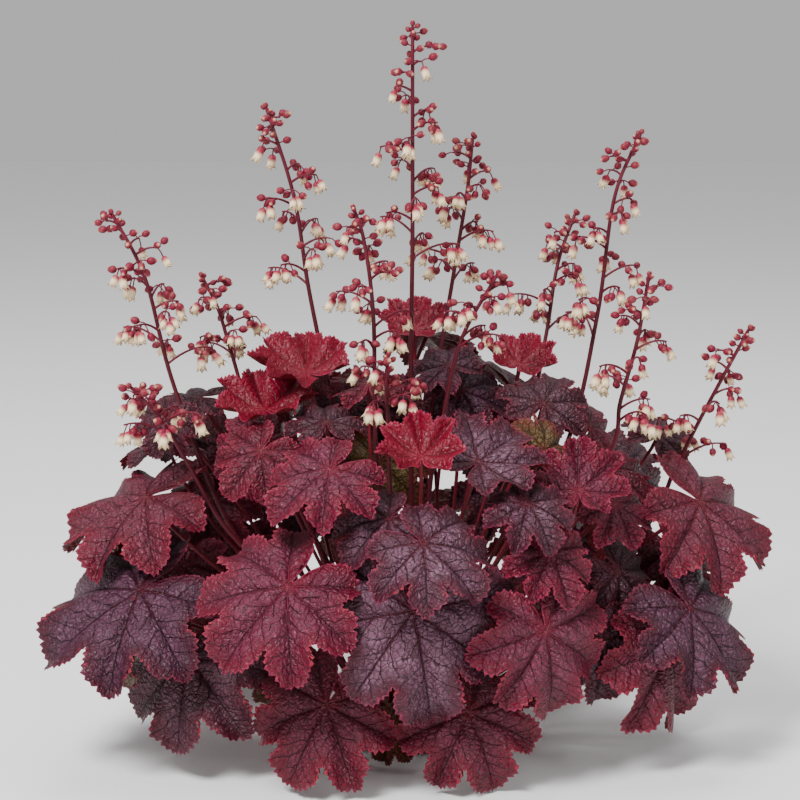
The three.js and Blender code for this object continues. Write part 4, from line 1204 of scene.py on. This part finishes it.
def grow_crown():
    """The woody rootstock: a knobbly dome with a flat foot."""
    growth = Growth()
    around = np.linspace(0, 2 * math.pi, CROWN_COLUMNS, endpoint=False)
    rings = []
    for k in range(CROWN_ROWS):
        rise = k / CROWN_ROWS * math.pi / 2
        radius = CROWN_RADIUS * math.cos(rise * 0.92 - 0.1) if k else CROWN_FOOT
        height = CROWN_HEIGHT * math.sin(rise)
        waves = sum(deep * np.sin(around * count + height * slant) for deep, count, slant in KNOBS)
        knobs = 1 + waves * min(1, height / 6)
        ring = np.column_stack([radius * np.cos(around) * knobs, radius * np.sin(around) * knobs,
                                np.full(CROWN_COLUMNS, height)])
        rings.append(growth.add(ring, ring * 0, ring * 0))
    top = growth.add(np.array([[0, 0, CROWN_HEIGHT]]), np.zeros((1, 3)), np.zeros((1, 3)))[0]
    for low, high in zip(rings, rings[1:]):
        growth.skin(band(low, high), 0)
    growth.skin([(a, b, top) for a, b in neighbours(rings[-1])], 0)
    growth.skin([tuple(reversed(rings[0]))], 0)
    growth.sharp += neighbours(rings[0])
    dressed(piece_of("crown_wood", growth, [crown_material()]), "crown")


def grow_plant():
    leaves = all_leaves()
    nodes = list(dict.fromkeys(leaf["node"] for leaf in leaves))
    shoots = [[leaf for leaf in leaves if leaf["node"] == node] for node in nodes]
    aims = [stem[3] for stem in STEMS]
    aims += [np.mean([leaf["at"] for leaf in shoot], axis=0) for shoot in shoots]
    feet = spread_feet([first_foot(aim) for aim in aims])
    shapes = [turned_shape(name, *form) for name, form in FLORET_SHAPES.items()]
    for number, stem in enumerate(STEMS):
        grow_stem(number, stem, feet[number], shapes)
    for shape in shapes:
        bpy.data.objects.remove(shape)
    for node, shoot, foot in zip(nodes, shoots, feet[len(STEMS):]):
        grow_shoot(node, shoot, foot)
    grow_crown()


# ---- studio -------------------------------------------------------------------------------------
CAMERA_RISE = 10.0  # degrees
CAMERA_DISTANCE = 1400.0
CAMERA_AIM = np.array([-2.75, 0.0, 193.8])
FRAME_WIDTH = 440.0  # mm seen across the picture at the aim
SENSOR = 36.0
FLOOR_HALF = 4000.0
LAMP_AIM = (0, 0, 0.16)  # m
LAMPS = {  # place and size in m, and power in W
    "key": ((-0.7, -1.2, 1.6), 0.6, 60),
    "fill": ((1.4, -1.1, 0.8), 1.2, 6),
    "top": ((0.1, 0.5, 1.7), 1.2, 16),
}


def studio_floor():
    sides = ((-1, -1), (1, -1), (1, 1), (-1, 1))
    mesh = new_mesh("floor", [(x * FLOOR_HALF, y * FLOOR_HALF, 0) for x, y in sides], [], [(0, 1, 2, 3)])
    floor = new_object("floor", mesh)
    material, _, shader = new_material("floor_paper", 0.9)
    shader.inputs["Base Color"].default_value = (0.92, 0.92, 0.92, 1)
    mesh.materials.append(material)


def aimed(thing, place, aim):
    """Puts a lamp or camera at a place, looking at a point, both in metres."""
    thing.location = place
    thing.rotation_euler = (Vector(aim) - Vector(place)).to_track_quat("-Z", "Y").to_euler()


def soft_lamp(name, place, size, power):
    lamp = bpy.data.lights.new(name, "AREA")
    lamp.shape = "SQUARE"
    lamp.size = size
    lamp.energy = power
    aimed(new_object(name, lamp), place, LAMP_AIM)


def studio():
    studio_floor()
    for name, (place, size, power) in LAMPS.items():
        soft_lamp(name, place, size, power)
    world = bpy.data.worlds.new("pale_room")
    world.use_nodes = True
    world.node_tree.nodes["Background"].inputs["Color"].default_value = (0.95, 0.95, 0.96, 1)
    world.node_tree.nodes["Background"].inputs["Strength"].default_value = 0.55
    bpy.context.scene.world = world
    camera = bpy.data.cameras.new("camera")
    camera.sensor_width = SENSOR
    camera.lens = SENSOR * CAMERA_DISTANCE / FRAME_WIDTH
    thing = new_object("camera", camera)
    back = heading(270, CAMERA_RISE) * CAMERA_DISTANCE
    aimed(thing, (CAMERA_AIM + back) * MM, CAMERA_AIM * MM)
    bpy.context.scene.camera = thing


grow_plant()
studio()
